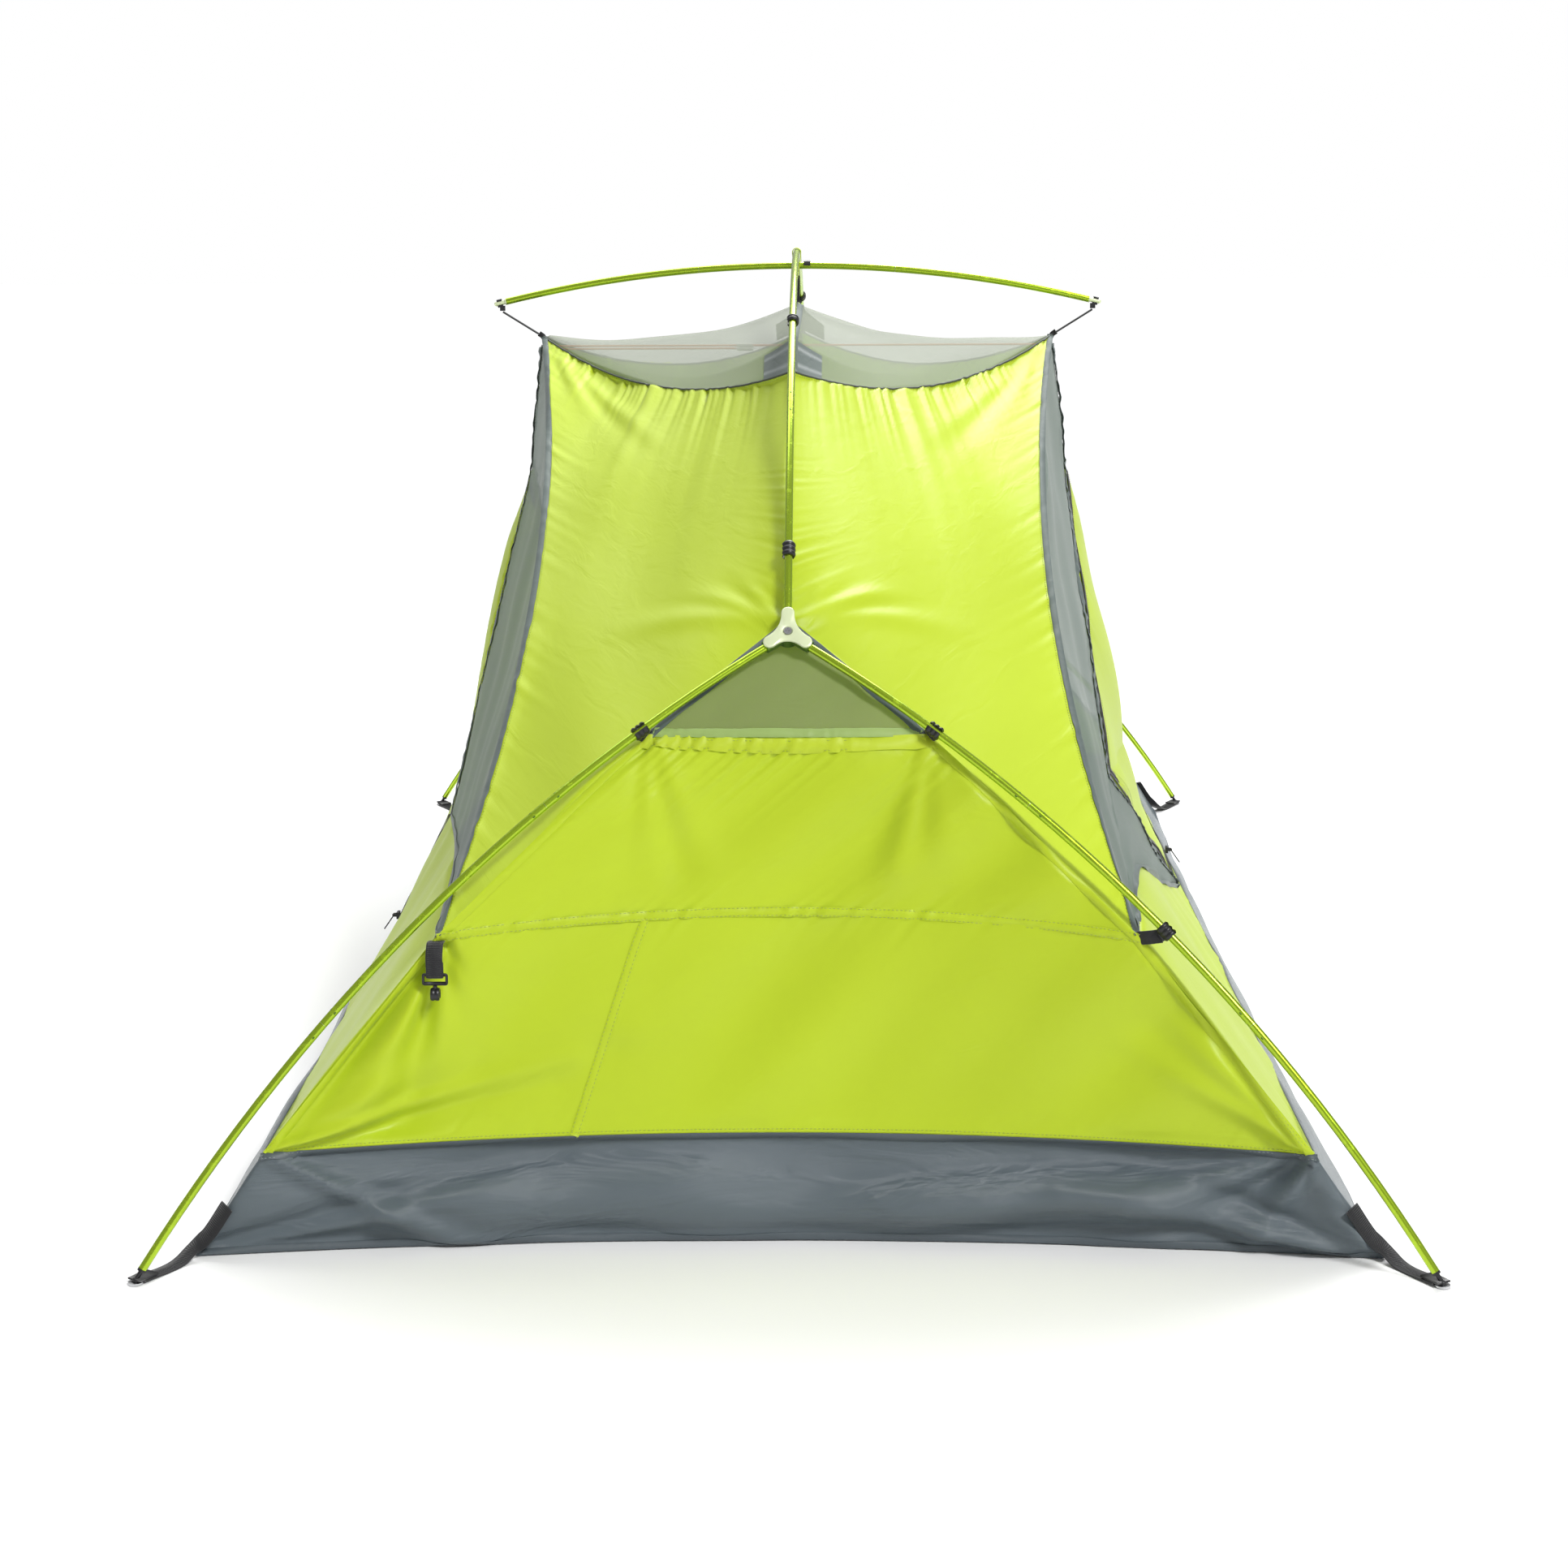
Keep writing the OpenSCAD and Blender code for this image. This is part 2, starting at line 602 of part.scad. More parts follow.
module leg_clip(f, to) {
    p = leg_point(f);
    d = leg_dir(f);
    out = p - to;
    away = out - (out * d) * d;
    y = cross(d, away / norm(away));
    e = away / norm(away);
    // The ring's own X points away from the tent, so that its mouth is hidden under the pole
    multmatrix([[-e[0], -y[0], d[0], p[0]], [-e[1], -y[1], d[1], p[1]], [-e[2], -y[2], d[2], p[2]]]) {
        clip_ring(clip_len, 4);
        translate([clip_r + clip_wall - 0.6, -clip_block_w / 2, -5])
            cube([max(2, norm(away) - clip_r - clip_wall - 3), clip_block_w, 10]);
    }
}

module upper_leg_clips() {
    color(black) four_corners() leg_clip(upper_frac, upper_pt);
}

module lower_leg_clips() {
    color(black) for (c = [[1, -1], [-1, 1], [1, 1]]) corner(c[0], c[1]) leg_clip(lower_frac, lower_pt);
}

module loose_clip_strap() {
    strap_w = web_w - 2;
    sleeve_r = pin_r + run_gap + web_t;
    color(black) corner(-1, -1) {
        translate(strap_top - [strap_w / 2, 0, web_t]) cube([strap_w, strap_out - 2, web_t]);
        difference() {
            union() {
                translate(strap_top - [strap_w / 2, web_t / 2, strap_len + 2.5])
                    cube([strap_w, web_t, strap_len + 2.5]);
                translate(pin_at) rotate([0, 90, 0]) cylinder(r = sleeve_r, h = strap_w, center = true);
            }
            translate(pin_at) rotate([0, 90, 0]) cylinder(r = pin_r + run_gap, h = web_w, center = true);
        }
    }
}

module loose_clip() {
    color(black) corner(-1, -1) translate(pin_at) {
        rotate([0, 90, 0]) cylinder(r = pin_r, h = web_w + 2, center = true);
        for (x = [-1, 1]) translate([x * (web_w / 2 + 1) - 1.5, -1.6, -8]) cube([3, 3.2, 9.2]);
        translate([-web_w / 2 - 2.5, -1.6, -11]) cube([web_w + 5, 3.2, 4]);
        translate([-2.5, -1.6, -16]) cube([5, 3.2, 6]);
        translate([0, 0, -16 - clip_r]) rotate([0, 90, 0]) rotate([0, 0, 180]) clip_ring(8, 6);
    }
}

// ---- floor and bathtub ----

function floor_end(u) = [floor_w / 2 * u, -(floor_l / 2 - floor_sag_end * (1 - u * u)), 0];
function floor_side(u) = [floor_w / 2 - floor_sag_side * (1 - u * u), floor_l / 2 * u, 0];

module floor_sheet() {
    outline = concat([for (u = steps(-1, 0.9, 19)) floor_end(u)], [for (u = steps(-1, 0.9, 19)) floor_side(u)]);
    color(slate) linear_extrude(height = cloth)
        polygon(concat([for (p = outline) [p[0], p[1]]], [for (p = outline) [-p[0], -p[1]]]));
}

module bathtub_wall() {
    low = [0, 0, cloth + 0.5];
    color(slate) {
        for (a = [0, 180]) rotate([0, 0, a]) {
            sheet([for (u = steps(-0.994, 0.994, 18)) [for (t = steps(0, 0.97, 3))
                lerp(floor_end(u) + low, tub_edge(u), t) - [0, 7 * sin(180 * t), 0]]], [0, cloth, 0]);
            sheet([for (u = steps(-0.994, 0.994, 20)) [for (t = steps(0, 0.97, 3))
                lerp(floor_side(u) + low, side_tub(-u * tub_top[1]), t) + [5 * sin(180 * t), 0, 0]]],
                [-cloth, 0, 0]);
        }
    }
}

// ---- ends ----

module end_wall(y) {
    us = steps(-1, 1, 12);
    color(lime) corner(1, y) {
        sheet(rows([for (u = us) tub_edge(u * 0.985)], [for (u = us) belt_edge(u * 0.985)], 3), [0, cloth, 0]);
        sheet(rows([for (u = us) belt_edge(u * 0.985)], [for (u = us) hem_edge(u * 0.97)], 4), [0, cloth, 0]);
    }
}

module end_mesh(y) {
    vs = steps(0.03, 0.94, 6);
    color(grey_mesh) corner(1, y) sheet(rows([for (v = vs) lerp(hem_edge(-1), hub_pt, v)],
                                             [for (v = vs) lerp(hem_edge(1), hub_pt, v)], 6), [0, cloth, 0]);
}

// ---- wings and roof ----

module wing(y) {
    color(lime) corner(1, y) for (x = [-1, 1]) corner(x, -1)
        sheet([for (v = steps(0.012, 0.988, 12)) [for (u = steps(0.012, 0.985, 10)) wing_at(u, v)]],
              [0, 0, -cloth]);
}

module roof_mesh() {
    color(grey_mesh) for (x = [-1, 1]) corner(x, -1)
        sheet([for (b = steps(0.012, 0.96, 10)) [for (a = steps(-0.985, 0.985, 14)) roof_at(a, b)]],
              [0, 0, -cloth]);
}

// ---- sides ----

module side_mesh(x) {
    vs = steps(0.07, 0.985, 12);
    ts = steps(0.01, 0.9, 8);
    color(grey_mesh) side(x) {
        sheet([for (v = vs)
            let (hold = seam / 2 / norm(side_wing(v, 1) - hinge_line(v)))
            [for (u = steps(hold, 1 - hold, 6)) hinge_strip(u, v)]], [-cloth, 0, 0]);
        sheet(rows([for (v = vs) latch_line(v)], [for (v = vs) side_wing(v, -1)], 3), [-cloth, 0, 0]);
        sheet(rows([for (t = ts) lerp(door_e, door_d, t)], [for (t = ts) band_line(t)], 3), [-cloth, 0, 0]);
    }
}

module side_panel(x) {
    end_w = -tub_top[1];
    color(lime) side(x) {
        sheet(rows([for (t = steps(0.01, 0.99, 8)) side_tub(lerp(end_w, door_c[1], t))],
                   [for (t = steps(0.01, 0.99, 8)) crest_line(t)], 3), [-cloth, 0, 0]);
        sheet(rows([for (t = steps(0.02, 0.98, 2)) side_tub(lerp(door_c[1], door_d[1], t))],
                   [for (t = steps(0.02, 0.98, 2)) lerp(door_c, door_d, t)], 2), [-cloth, 0, 0]);
        sheet(rows([for (t = steps(0.01, 0.99, 10)) side_tub(lerp(door_d[1], -end_w, t))],
                   [for (t = steps(0.01, 0.99, 10))
                       along([door_d, band_b, band_a, side_l], [0, 0.38, 0.8, 1], t)], 3), [-cloth, 0, 0]);
    }
}

// ---- doors, written for +X and moved with side() ----

module door(x) {
    color(lime) side(x) sheet([for (v = steps(0.03, 0.985, 12))
        let (hold = seam / 2 / norm(door_at(1, v) - door_at(0, v)))
        [for (u = steps(hold, 1 - hold, 8)) door_at(u, v)]], [-cloth, 0, 0]);
}

// The zip's chain lies on the outside of the door, along its edge
module door_zip(x) {
    color(black) side(x) for (e = [[door_b, door_c, 0.04, 0.95], [door_d, door_e, 0.06, 0.985]]) {
        run = (e[1] - e[0]) / norm(e[1] - e[0]);
        inward = cross(run, [1, 0, 0]) / norm(cross(run, [1, 0, 0]));
        s = inward * (door_a - e[0]) > 0 ? 1 : -1;
        into = s * inward;
        sheet([for (t = steps(e[2], e[3], 6))
            let (p = lerp(e[0], e[1], t) + zip_lift + into * (seam / 2 + 1))
            [p, p + into * zip_w]], [1, 0, 0]);
    }
    color(black) side(x) sheet([for (t = steps(0.04, 0.96, 4))
        let (p = lerp(door_c, door_d, t) + zip_lift + [0, 0, seam / 2 + 1]) [p, p + [0, 0, zip_w]]], [1, 0, 0]);
}

// The slider's own frame: +X points out of the tent, +Y back along the way it slides
module slider_frame() {
    translate(slider_at) rotate([0, 0, atan2(slide_dir[1], slide_dir[0]) + 90]) children();
}

module zip_slider(x) {
    color(black) side(x) slider_frame() {
        cube([slider_t, slider_l, slider_w], center = true);
        for (s = [-1, 1]) translate([slider_t / 2 - 0.5, s * (ear_gap + ear_t) / 2 - ear_t / 2, -1.8])
            cube([6.2, ear_t, 3.6]);
        translate([pull_pin_x, 0, 0]) rotate([90, 0, 0])
            cylinder(r = pull_pin_r, h = ear_gap + 1, center = true);
    }
}

module zip_pull(x) {
    color(black) side(x) slider_frame() translate([pull_pin_x, 0, 0]) rotate([0, -pull_lean, 0]) difference() {
        union() {
            rotate([90, 0, 0]) cylinder(r = 2.2, h = ear_gap - 0.6, center = true);
            translate([-0.8, -2.2, -pull_len]) cube([1.6, 4.4, pull_len - 1]);
        }
        rotate([90, 0, 0]) cylinder(r = pull_pin_r + 0.1, h = ear_gap + 2, center = true);
    }
}

// ---- line across the top of the cabin ----

module drying_line() {
    color(orange) {
        translate([-line_end, 0, line_z]) rotate([0, 90, 0]) cylinder(d = line_d, h = 2 * line_end);
        translate([-line_end, 0, line_z - line_pitch]) rotate([0, 90, 0])
            cylinder(d = line_d, h = line_end + lock_x - lock_len / 2 - 1);
    }
}

module line_lock() {
    color(lime_pale) translate([lock_x, 0, line_z]) rotate([0, 90, 0]) difference() {
        union() {
            cylinder(r = lock_r, h = lock_len, center = true);
            translate([line_pitch, 0, 0]) cylinder(r = lock_r, h = lock_len, center = true);
        }
        cylinder(r = line_d / 2 + run_gap, h = lock_len + 2, center = true);
        translate([line_pitch, 0, 0]) cylinder(r = line_d / 2 + run_gap, h = lock_len + 2, center = true);
    }
}

leg_pole(-1, -1);  // leg_pole_front_left
leg_pole(1, -1);  // leg_pole_front_right
leg_pole(-1, 1);  // leg_pole_rear_left
leg_pole(1, 1);  // leg_pole_rear_right
ridge_pole(1);  // ridge_pole_1
ridge_pole(2);  // ridge_pole_2
ridge_pole(3);  // ridge_pole_3
ridge_pole(4);  // ridge_pole_4
ridge_pole(5);  // ridge_pole_5
cross_pole(0);  // cross_pole_left
cross_pole(1);  // cross_pole_centre
cross_pole(2);  // cross_pole_right
leg_ferrules();
ridge_ferrules();
cross_pole_ferrules();
leg_shock_cords();
ridge_shock_cord();
cross_pole_shock_cord();
hub_body(-1);  // hub_front
hub_body(1);  // hub_rear
hub_cap(-1);  // hub_cap_front
hub_cap(1);  // hub_cap_rear
hub_screws();
pole_feet();
foot_grommets();
foot_webbing();
cross_pole_tips();
corner_hooks();
corner_elastics();
ridge_clips();
upper_leg_clips();
lower_leg_clips();
loose_clip_strap();
loose_clip();
crossing_clip();
crossing_loop();
floor_sheet();  // floor
bathtub_wall();
end_wall(-1);  // end_wall_front
end_wall(1);  // end_wall_rear
end_mesh(-1);  // end_mesh_front
end_mesh(1);  // end_mesh_rear
wing(-1);  // wing_front
wing(1);  // wing_rear
roof_mesh();
side_mesh(-1);  // side_mesh_left
side_mesh(1);  // side_mesh_right
side_panel(-1);  // side_panel_left
side_panel(1);  // side_panel_right
door(-1);  // door_left
door(1);  // door_right
door_zip(-1);  // door_zip_left
door_zip(1);  // door_zip_right
zip_slider(-1);  // zip_slider_left
zip_slider(1);  // zip_slider_right
zip_pull(-1);  // zip_pull_left
zip_pull(1);  // zip_pull_right
drying_line();
line_lock();
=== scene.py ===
"""Looks of a two-person tent body on its hubbed pole frame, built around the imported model.

Every size is in metres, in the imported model's frame: +Z is up and the long side runs along Y.
"""

import math

import bpy
import numpy as np
from mathutils import Matrix


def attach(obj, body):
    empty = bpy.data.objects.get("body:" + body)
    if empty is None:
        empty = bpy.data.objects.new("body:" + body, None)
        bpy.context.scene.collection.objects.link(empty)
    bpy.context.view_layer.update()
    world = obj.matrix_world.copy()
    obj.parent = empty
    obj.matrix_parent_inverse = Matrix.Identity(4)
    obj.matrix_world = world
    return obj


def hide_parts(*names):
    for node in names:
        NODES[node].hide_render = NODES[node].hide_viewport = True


bl_info = {
    "name": "Tent body on a hubbed pole frame",
    "version": (1, 0, 0),
    "blender": (4, 5, 0),
    "location": "View3D > Sidebar > Tent",
    "description": "Cloth, netting, seams, zips, poles and fittings of a two-person tent body",
    "category": "Object",
}

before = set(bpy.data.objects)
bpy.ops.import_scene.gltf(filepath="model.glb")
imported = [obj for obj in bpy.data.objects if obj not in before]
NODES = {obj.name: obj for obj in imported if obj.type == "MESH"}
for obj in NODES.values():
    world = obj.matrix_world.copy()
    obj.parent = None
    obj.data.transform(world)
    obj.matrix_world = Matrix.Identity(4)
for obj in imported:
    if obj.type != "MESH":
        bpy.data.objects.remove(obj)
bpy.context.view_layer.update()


# ---- the frame's own points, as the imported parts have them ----


def p3(x, y, z):
    return np.array([x, y, z], float)


FLOOR_X, FLOOR_Y = 0.635, 1.065
SAG_END, SAG_SIDE = 0.049, 0.020
TUB_TOP = p3(0.560, -1.050, 0.111)
TUB_RISE = 0.008
POLE_R = 0.0045
HUB_TOP = p3(0, -0.843, 0.638)
RIDGE_Z = 1.031
RIDGE_RISE = RIDGE_Z - HUB_TOP[2]
RIDGE_R = (HUB_TOP[1] ** 2 + RIDGE_RISE**2) / (2 * RIDGE_RISE)
RIDGE_A = math.asin(-HUB_TOP[1] / RIDGE_R)
RIDGE_LEN = 2 * RIDGE_R * RIDGE_A
RIDGE_END = 0.356
CROSS_Z = RIDGE_Z - 2 * POLE_R - 0.009
FOOT = p3(0.681, -1.139, 0.0035)
LEG_BOW = 0.064
BOW_HINT = p3(0.594, -0.269, 0.758)

CHORD = FOOT - HUB_TOP
LEG_L = np.linalg.norm(CHORD)
LEG_T = CHORD / LEG_L
LEG_D = BOW_HINT - (BOW_HINT @ LEG_T) * LEG_T
LEG_D = LEG_D / np.linalg.norm(LEG_D)
LEG_R = (LEG_L**2 / 4 + LEG_BOW**2) / (2 * LEG_BOW)
LEG_A = math.asin(LEG_L / 2 / LEG_R)

CLIP_AT = (0.113, 0.554)
UPPER_FRAC, LOWER_FRAC = 0.2, 0.533
FABRIC_DROP = 0.017
PEAK_Z = 0.962
TOP = p3(0.350, 0, 0.918)
HUB_CLOTH = HUB_TOP + p3(0, 0.028, 0.012)


def ridge_point(s):
    """A point on the ridge pole's centreline, at a length from the front hub."""
    a = RIDGE_A - s / RIDGE_R
    return p3(0, -RIDGE_R * math.sin(a), RIDGE_Z - RIDGE_R + RIDGE_R * math.cos(a))


def leg_point(f):
    """A point on the centreline of the leg at +X and -Y, from 0 at the hub to 1 at the foot."""
    a = (2 * f - 1) * LEG_A
    rise = LEG_R * (math.cos(a) - math.cos(LEG_A))
    return (HUB_TOP + FOOT) / 2 + LEG_R * math.sin(a) * LEG_T + rise * LEG_D


def leg_dir(f):
    a = (2 * f - 1) * LEG_A
    return math.cos(a) * LEG_T - math.sin(a) * LEG_D


RIDGE_ONE = ridge_point(CLIP_AT[0]) - p3(0, 0, FABRIC_DROP)
RIDGE_TWO = ridge_point(CLIP_AT[1]) - p3(0, 0, FABRIC_DROP)
WING = p3(0, RIDGE_TWO[1] - 0.062, RIDGE_TWO[2] - 0.040)
UPPER = leg_point(UPPER_FRAC) + p3(-0.006, 0.014, -0.008)
LOWER = leg_point(LOWER_FRAC) + p3(-0.027, 0.013, -0.011)
SIDE_R = LOWER * p3(1, -1, 1)
DOOR_A = p3(TOP[0] + 0.018, 0, 0.745)
DOOR_B = p3(LOWER[0] + 0.081, 0.300, LOWER[2] - 0.025)
DOOR_C = p3(TUB_TOP[0] - 0.015, 0.210, TUB_TOP[2] + 0.027)
DOOR_D = p3(TUB_TOP[0] - 0.020, -0.020, TUB_TOP[2] + 0.027)
DOOR_E = p3(LOWER[0] + 0.014, -0.500, LOWER[2] + 0.071)
BAND_A = p3(LOWER[0] + 0.018, -0.800, LOWER[2] + 0.015)
BAND_B = p3(TUB_TOP[0] - 0.090, -0.400, TUB_TOP[2] + 0.132)
CREST = p3(LOWER[0] + 0.021, 0.700, LOWER[2] + 0.010)
DOOR_SPLIT, PANEL_SPLIT, DOOR_BULGE = 0.66, 0.28, 0.026
PIN = LOWER + p3(0, -0.018, -0.036)


# ---- curves and surfaces on arrays of parameters ----


def col(t):
    return np.asarray(t, float)[..., None]


def lerp(a, b, t):
    return a + (b - a) * t


def chain(points, at, t):
    """A point along a chain of straight pieces."""
    t = np.asarray(t, float)
    return np.stack([np.interp(t, at, [p[k] for p in points]) for k in range(3)], -1)


def soft_chain(points, at, t):
    """A point along one smooth curve through the points."""
    t, at, pts = np.asarray(t, float), np.asarray(at, float), np.array(points)
    slope = np.gradient(pts, at, axis=0)
    i = np.clip(np.searchsorted(at, t, side="right") - 1, 0, len(at) - 2)
    h = col(at[i + 1] - at[i])
    x = (col(t) - col(at[i])) / h
    return (
        (1 + 2 * x) * (1 - x) ** 2 * pts[i]
        + x * (1 - x) ** 2 * h * slope[i]
        + x * x * (3 - 2 * x) * pts[i + 1]
        - x * x * (1 - x) * h * slope[i + 1]
    )


def xyz(x, y, z):
    return np.stack(np.broadcast_arrays(x, y, z), -1).astype(float)


def tub_edge(u):
    middle = FLOOR_Y - SAG_END - 0.013
    return xyz(TUB_TOP[0] * u, -lerp(middle, -TUB_TOP[1], u * u), TUB_TOP[2] + TUB_RISE * (1 - u * u))


def belt_edge(u):
    k = 1 - u * u
    return xyz(LOWER[0] * u, LOWER[1] + 0.055 * k, LOWER[2] + 0.015 * k)


def hem_edge(u):
    return xyz(UPPER[0] * u, UPPER[1] - 0.012 * (1 - u * u), UPPER[2] + 0 * u)


def floor_end(u):
    return xyz(FLOOR_X * u, -(FLOOR_Y - SAG_END * (1 - u * u)), 0 * u)


def floor_side(u):
    return xyz(FLOOR_X - SAG_SIDE * (1 - u * u), FLOOR_Y * u, 0 * u)


def side_tub(w):
    q = w / -TUB_TOP[1]
    return xyz(TUB_TOP[0] - 0.004 * (1 - q * q), w, TUB_TOP[2] + 0.007 * (1 - q * q))


def wing_top(u):
    return lerp(WING, TOP, col(u)) - col(0.176 * u * (1 - u)) * p3(0, 0, 1)


def wing_edge(v):
    return lerp(TOP, LOWER, col(v)) + col(v * (1 - v)) * p3(-0.184, -0.072, 0.056)


# Where the upper clip lies along the seam beside a leg, and the belt seam on the end wall's height
UPPER_SEAM, BELT_T = 0.42, 0.55


def leg_seam(f):
    """The seam beside a leg, from the hub at 0 over the upper clip to the lower clip at 1."""
    return soft_chain([HUB_CLOTH, UPPER, LOWER], [0, UPPER_SEAM, 1], f)


def wing_at(u, v):
    foot = leg_seam(u)
    ridge = soft_chain([WING, RIDGE_ONE, HUB_CLOTH], [0, 0.82, 1], v)
    u1, v1 = col(u), col(v)
    return (
        (1 - v1) * wing_top(u) + v1 * foot + (1 - u1) * ridge + u1 * wing_edge(v)
        - (1 - u1) * (1 - v1) * WING - u1 * (1 - v1) * TOP - (1 - u1) * v1 * HUB_CLOTH - u1 * v1 * LOWER
    )


def roof_at(a, b):
    edge = wing_top(b)
    mid = lerp(TOP[2], PEAK_Z, (1 - b) ** 3) - 0.032 * b * (1 - b)
    knee = RIDGE_TWO[1] / WING[1]
    line = np.where(
        np.abs(a) > knee,
        (1 - np.abs(a)) / (1 - knee) * 0.040,
        lerp(PEAK_Z - WING[2], 0.040, np.minimum(1, np.abs(a) / knee)),
    )
    rise = lerp((1 - a * a) * (mid - edge[..., 2]), line, (1 - b) ** 6)
    return xyz(edge[..., 0], -a * edge[..., 1], edge[..., 2] + rise)


def end_at(u, t):
    """The end wall, from the bathtub's edge at 0 over the belt seam to the hem at 1."""
    low, belt, hem = tub_edge(u), belt_edge(u), hem_edge(u)
    t = col(t)
    straight = np.where(t < BELT_T, lerp(low, belt, t / BELT_T), lerp(belt, hem, (t - BELT_T) / (1 - BELT_T)))
    turn = (hem - belt) / (1 - BELT_T) - (belt - low) / BELT_T
    reach = np.clip(0.12 - np.abs(t - BELT_T), 0, None)
    high = np.clip((t[..., 0] - BELT_T) / (1 - BELT_T), 0, 1)
    pull = leg_seam(1 - (1 - UPPER_SEAM) * high) - lerp(LOWER, UPPER, col(high))
    return straight + turn * reach**2 / 0.48 * (1 - col(u) ** 8) + side_pull(pull, u)


def side_pull(pull, u):
    """Brings a side edge onto its seam, and fades towards the middle."""
    return pull * col(np.abs(u) ** 3) * xyz(np.sign(u), 1, 1)


def end_mesh_at(u, t):
    pull = leg_seam(UPPER_SEAM * (1 - t)) - lerp(UPPER, HUB_CLOTH, col(t))
    return lerp(hem_edge(u), HUB_CLOTH, col(t)) + side_pull(pull, u)


def side_wing(v, s):
    return wing_edge(v) * p3(1, -s, 1)


def hinge_line(v):
    return chain([TOP, DOOR_A, DOOR_B], [0, PANEL_SPLIT, 1], v)


def latch_line(v):
    return chain([TOP, DOOR_A, DOOR_E], [0, PANEL_SPLIT, 1], v)


def crest_line(t):
    """The lower edge of the side's netting, from the rear clip to the door's corner, then down its zip."""
    t = np.asarray(t, float)
    smooth = soft_chain([SIDE_R, CREST, DOOR_B], [0, 0.36, 0.8], np.minimum(t, 0.8))
    return np.where(col(t) < 0.8, smooth, chain([DOOR_B, DOOR_C], [0.8, 1], t))


def band_line(t):
    return soft_chain([DOOR_D, BAND_B, BAND_A, LOWER], [0, 0.38, 0.8, 1], t)


def hinge_strip(u, v):
    u1, v1 = col(u), col(v)
    bottom = crest_line(0.8 * (1 - u))
    return (
        (1 - v1) * TOP + v1 * bottom + (1 - u1) * hinge_line(v) + u1 * side_wing(v, 1)
        - (1 - v1) * TOP - (1 - u1) * v1 * DOOR_B - u1 * v1 * SIDE_R
    )


def latch_strip(u, v):
    return lerp(latch_line(v), side_wing(v, -1), col(u))


def band_strip(u, v):
    return lerp(lerp(DOOR_E, DOOR_D, col(v)), band_line(1 - v), col(u))


def panel_right(u, v):
    return lerp(side_tub(lerp(-TUB_TOP[1], DOOR_C[1], u)), crest_line(u), col(v))


def panel_middle(u, v):
    return lerp(side_tub(lerp(DOOR_C[1], DOOR_D[1], u)), lerp(DOOR_C, DOOR_D, col(u)), col(v))


def panel_left(u, v):
    return lerp(side_tub(lerp(DOOR_D[1], TUB_TOP[1], u)), band_line(u), col(v))


def door_at(u, v):
    hinge = chain([DOOR_A, DOOR_B, DOOR_C], [0, DOOR_SPLIT, 1], v)
    latch = chain([DOOR_A, DOOR_E, DOOR_D], [0, DOOR_SPLIT, 1], v)
    bulge = DOOR_BULGE * np.sin(np.pi * u) * np.sin(np.pi * np.minimum(1, v / DOOR_SPLIT / 1.4))
    return lerp(hinge, latch, col(u)) + col(bulge) * p3(1, 0, 0)


def floor_at(a, b):
    return xyz(a * (FLOOR_X - SAG_SIDE * (1 - b * b)), b * (FLOOR_Y - SAG_END * (1 - a * a)), 0.0012 + 0 * a)


def tub_end_at(u, t):
    out = 0.009 * np.sin(np.pi * t) * (1 - u**6)
    low = floor_end(u) + p3(0, 0, 0.0012)
    return lerp(low, tub_edge(u), col(t)) - col(out) * p3(0, 1, 0)


def tub_side_at(u, t):
    out = 0.007 * np.sin(np.pi * t) * (1 - u**6)
    low = floor_side(u) + p3(0, 0, 0.0012)
    return lerp(low, side_tub(-u * TUB_TOP[1]), col(t)) + col(out) * p3(1, 0, 0)


# ---- cloth ----


def ripple(x, pitch, seed):
    """A wavy line of uneven folds, between about -1 and 1."""
    rng = np.random.default_rng(seed)
    out = np.zeros_like(x)
    for share in (1.0, 1.43, 0.71, 2.3):
        out += np.sin(2 * np.pi * x / (pitch * share) + rng.uniform(0, 2 * np.pi))
    return out / 2.6


def waves(x, y, scale, seed, count=7):
    """A soft uneven surface, between about -1 and 1."""
    rng = np.random.default_rng(seed)
    out = np.zeros_like(x)
    for _ in range(count):
        a, f, o = rng.uniform(0, np.pi), rng.uniform(0.6, 1.5), rng.uniform(0, 2 * np.pi)
        out += np.sin(2 * np.pi * (x * math.cos(a) + y * math.sin(a)) / (scale * f) + o)
    return out / math.sqrt(count * 1.6)


def drape(points, start, end, spread, height, count, seed):
    """Folds that fan out from one point towards a stretch of places either side of another."""
    rng = np.random.default_rng(seed)
    out = np.zeros(points.shape[:-1])
    for k in range(count):
        aim = end + (k - (count - 1) / 2) * spread / max(1, count - 1)
        aim = aim + rng.normal(0, 0.15 / count, 3) * np.abs(spread)
        tall = height * rng.uniform(0.6, 1.2) * (1 if k % 2 else -0.8)
        out += fold(points, start, aim, rng.uniform(0.010, 0.018), tall)
    return out


def gather(along_edge, inward, pitch, height, reach, seed):
    """Folds that start at a gathered edge and fade away from it."""
    swell = 0.55 + 0.45 * ripple(along_edge, pitch * 7, seed + 1)
    return height * ripple(along_edge, pitch, seed) * swell * np.exp(-inward / reach)


def fold(points, a, b, width, height):
    """One fold along the line from a to b, strongest at a."""
    d = b - a
    t = np.clip(((points - a) @ d) / (d @ d), 0, 1)
    off = np.linalg.norm(points - a - col(t) * d, axis=-1)
    return height * np.exp(-((off / (width * (0.6 + 0.8 * t))) ** 2)) * (1 - t**2 * 0.7)


def lengths(grid, axis):
    step = np.linalg.norm(np.diff(grid, axis=axis), axis=-1)
    pad = [(0, 0), (0, 0)]
    pad[axis] = (1, 0)
    return np.cumsum(np.pad(step, pad), axis=axis)


def grid_normals(grid):
    du, dv = np.gradient(grid, axis=0), np.gradient(grid, axis=1)
    n = np.cross(du, dv)
    size = np.linalg.norm(n, axis=-1, keepdims=True)
    return n / np.maximum(size, 1e-12)


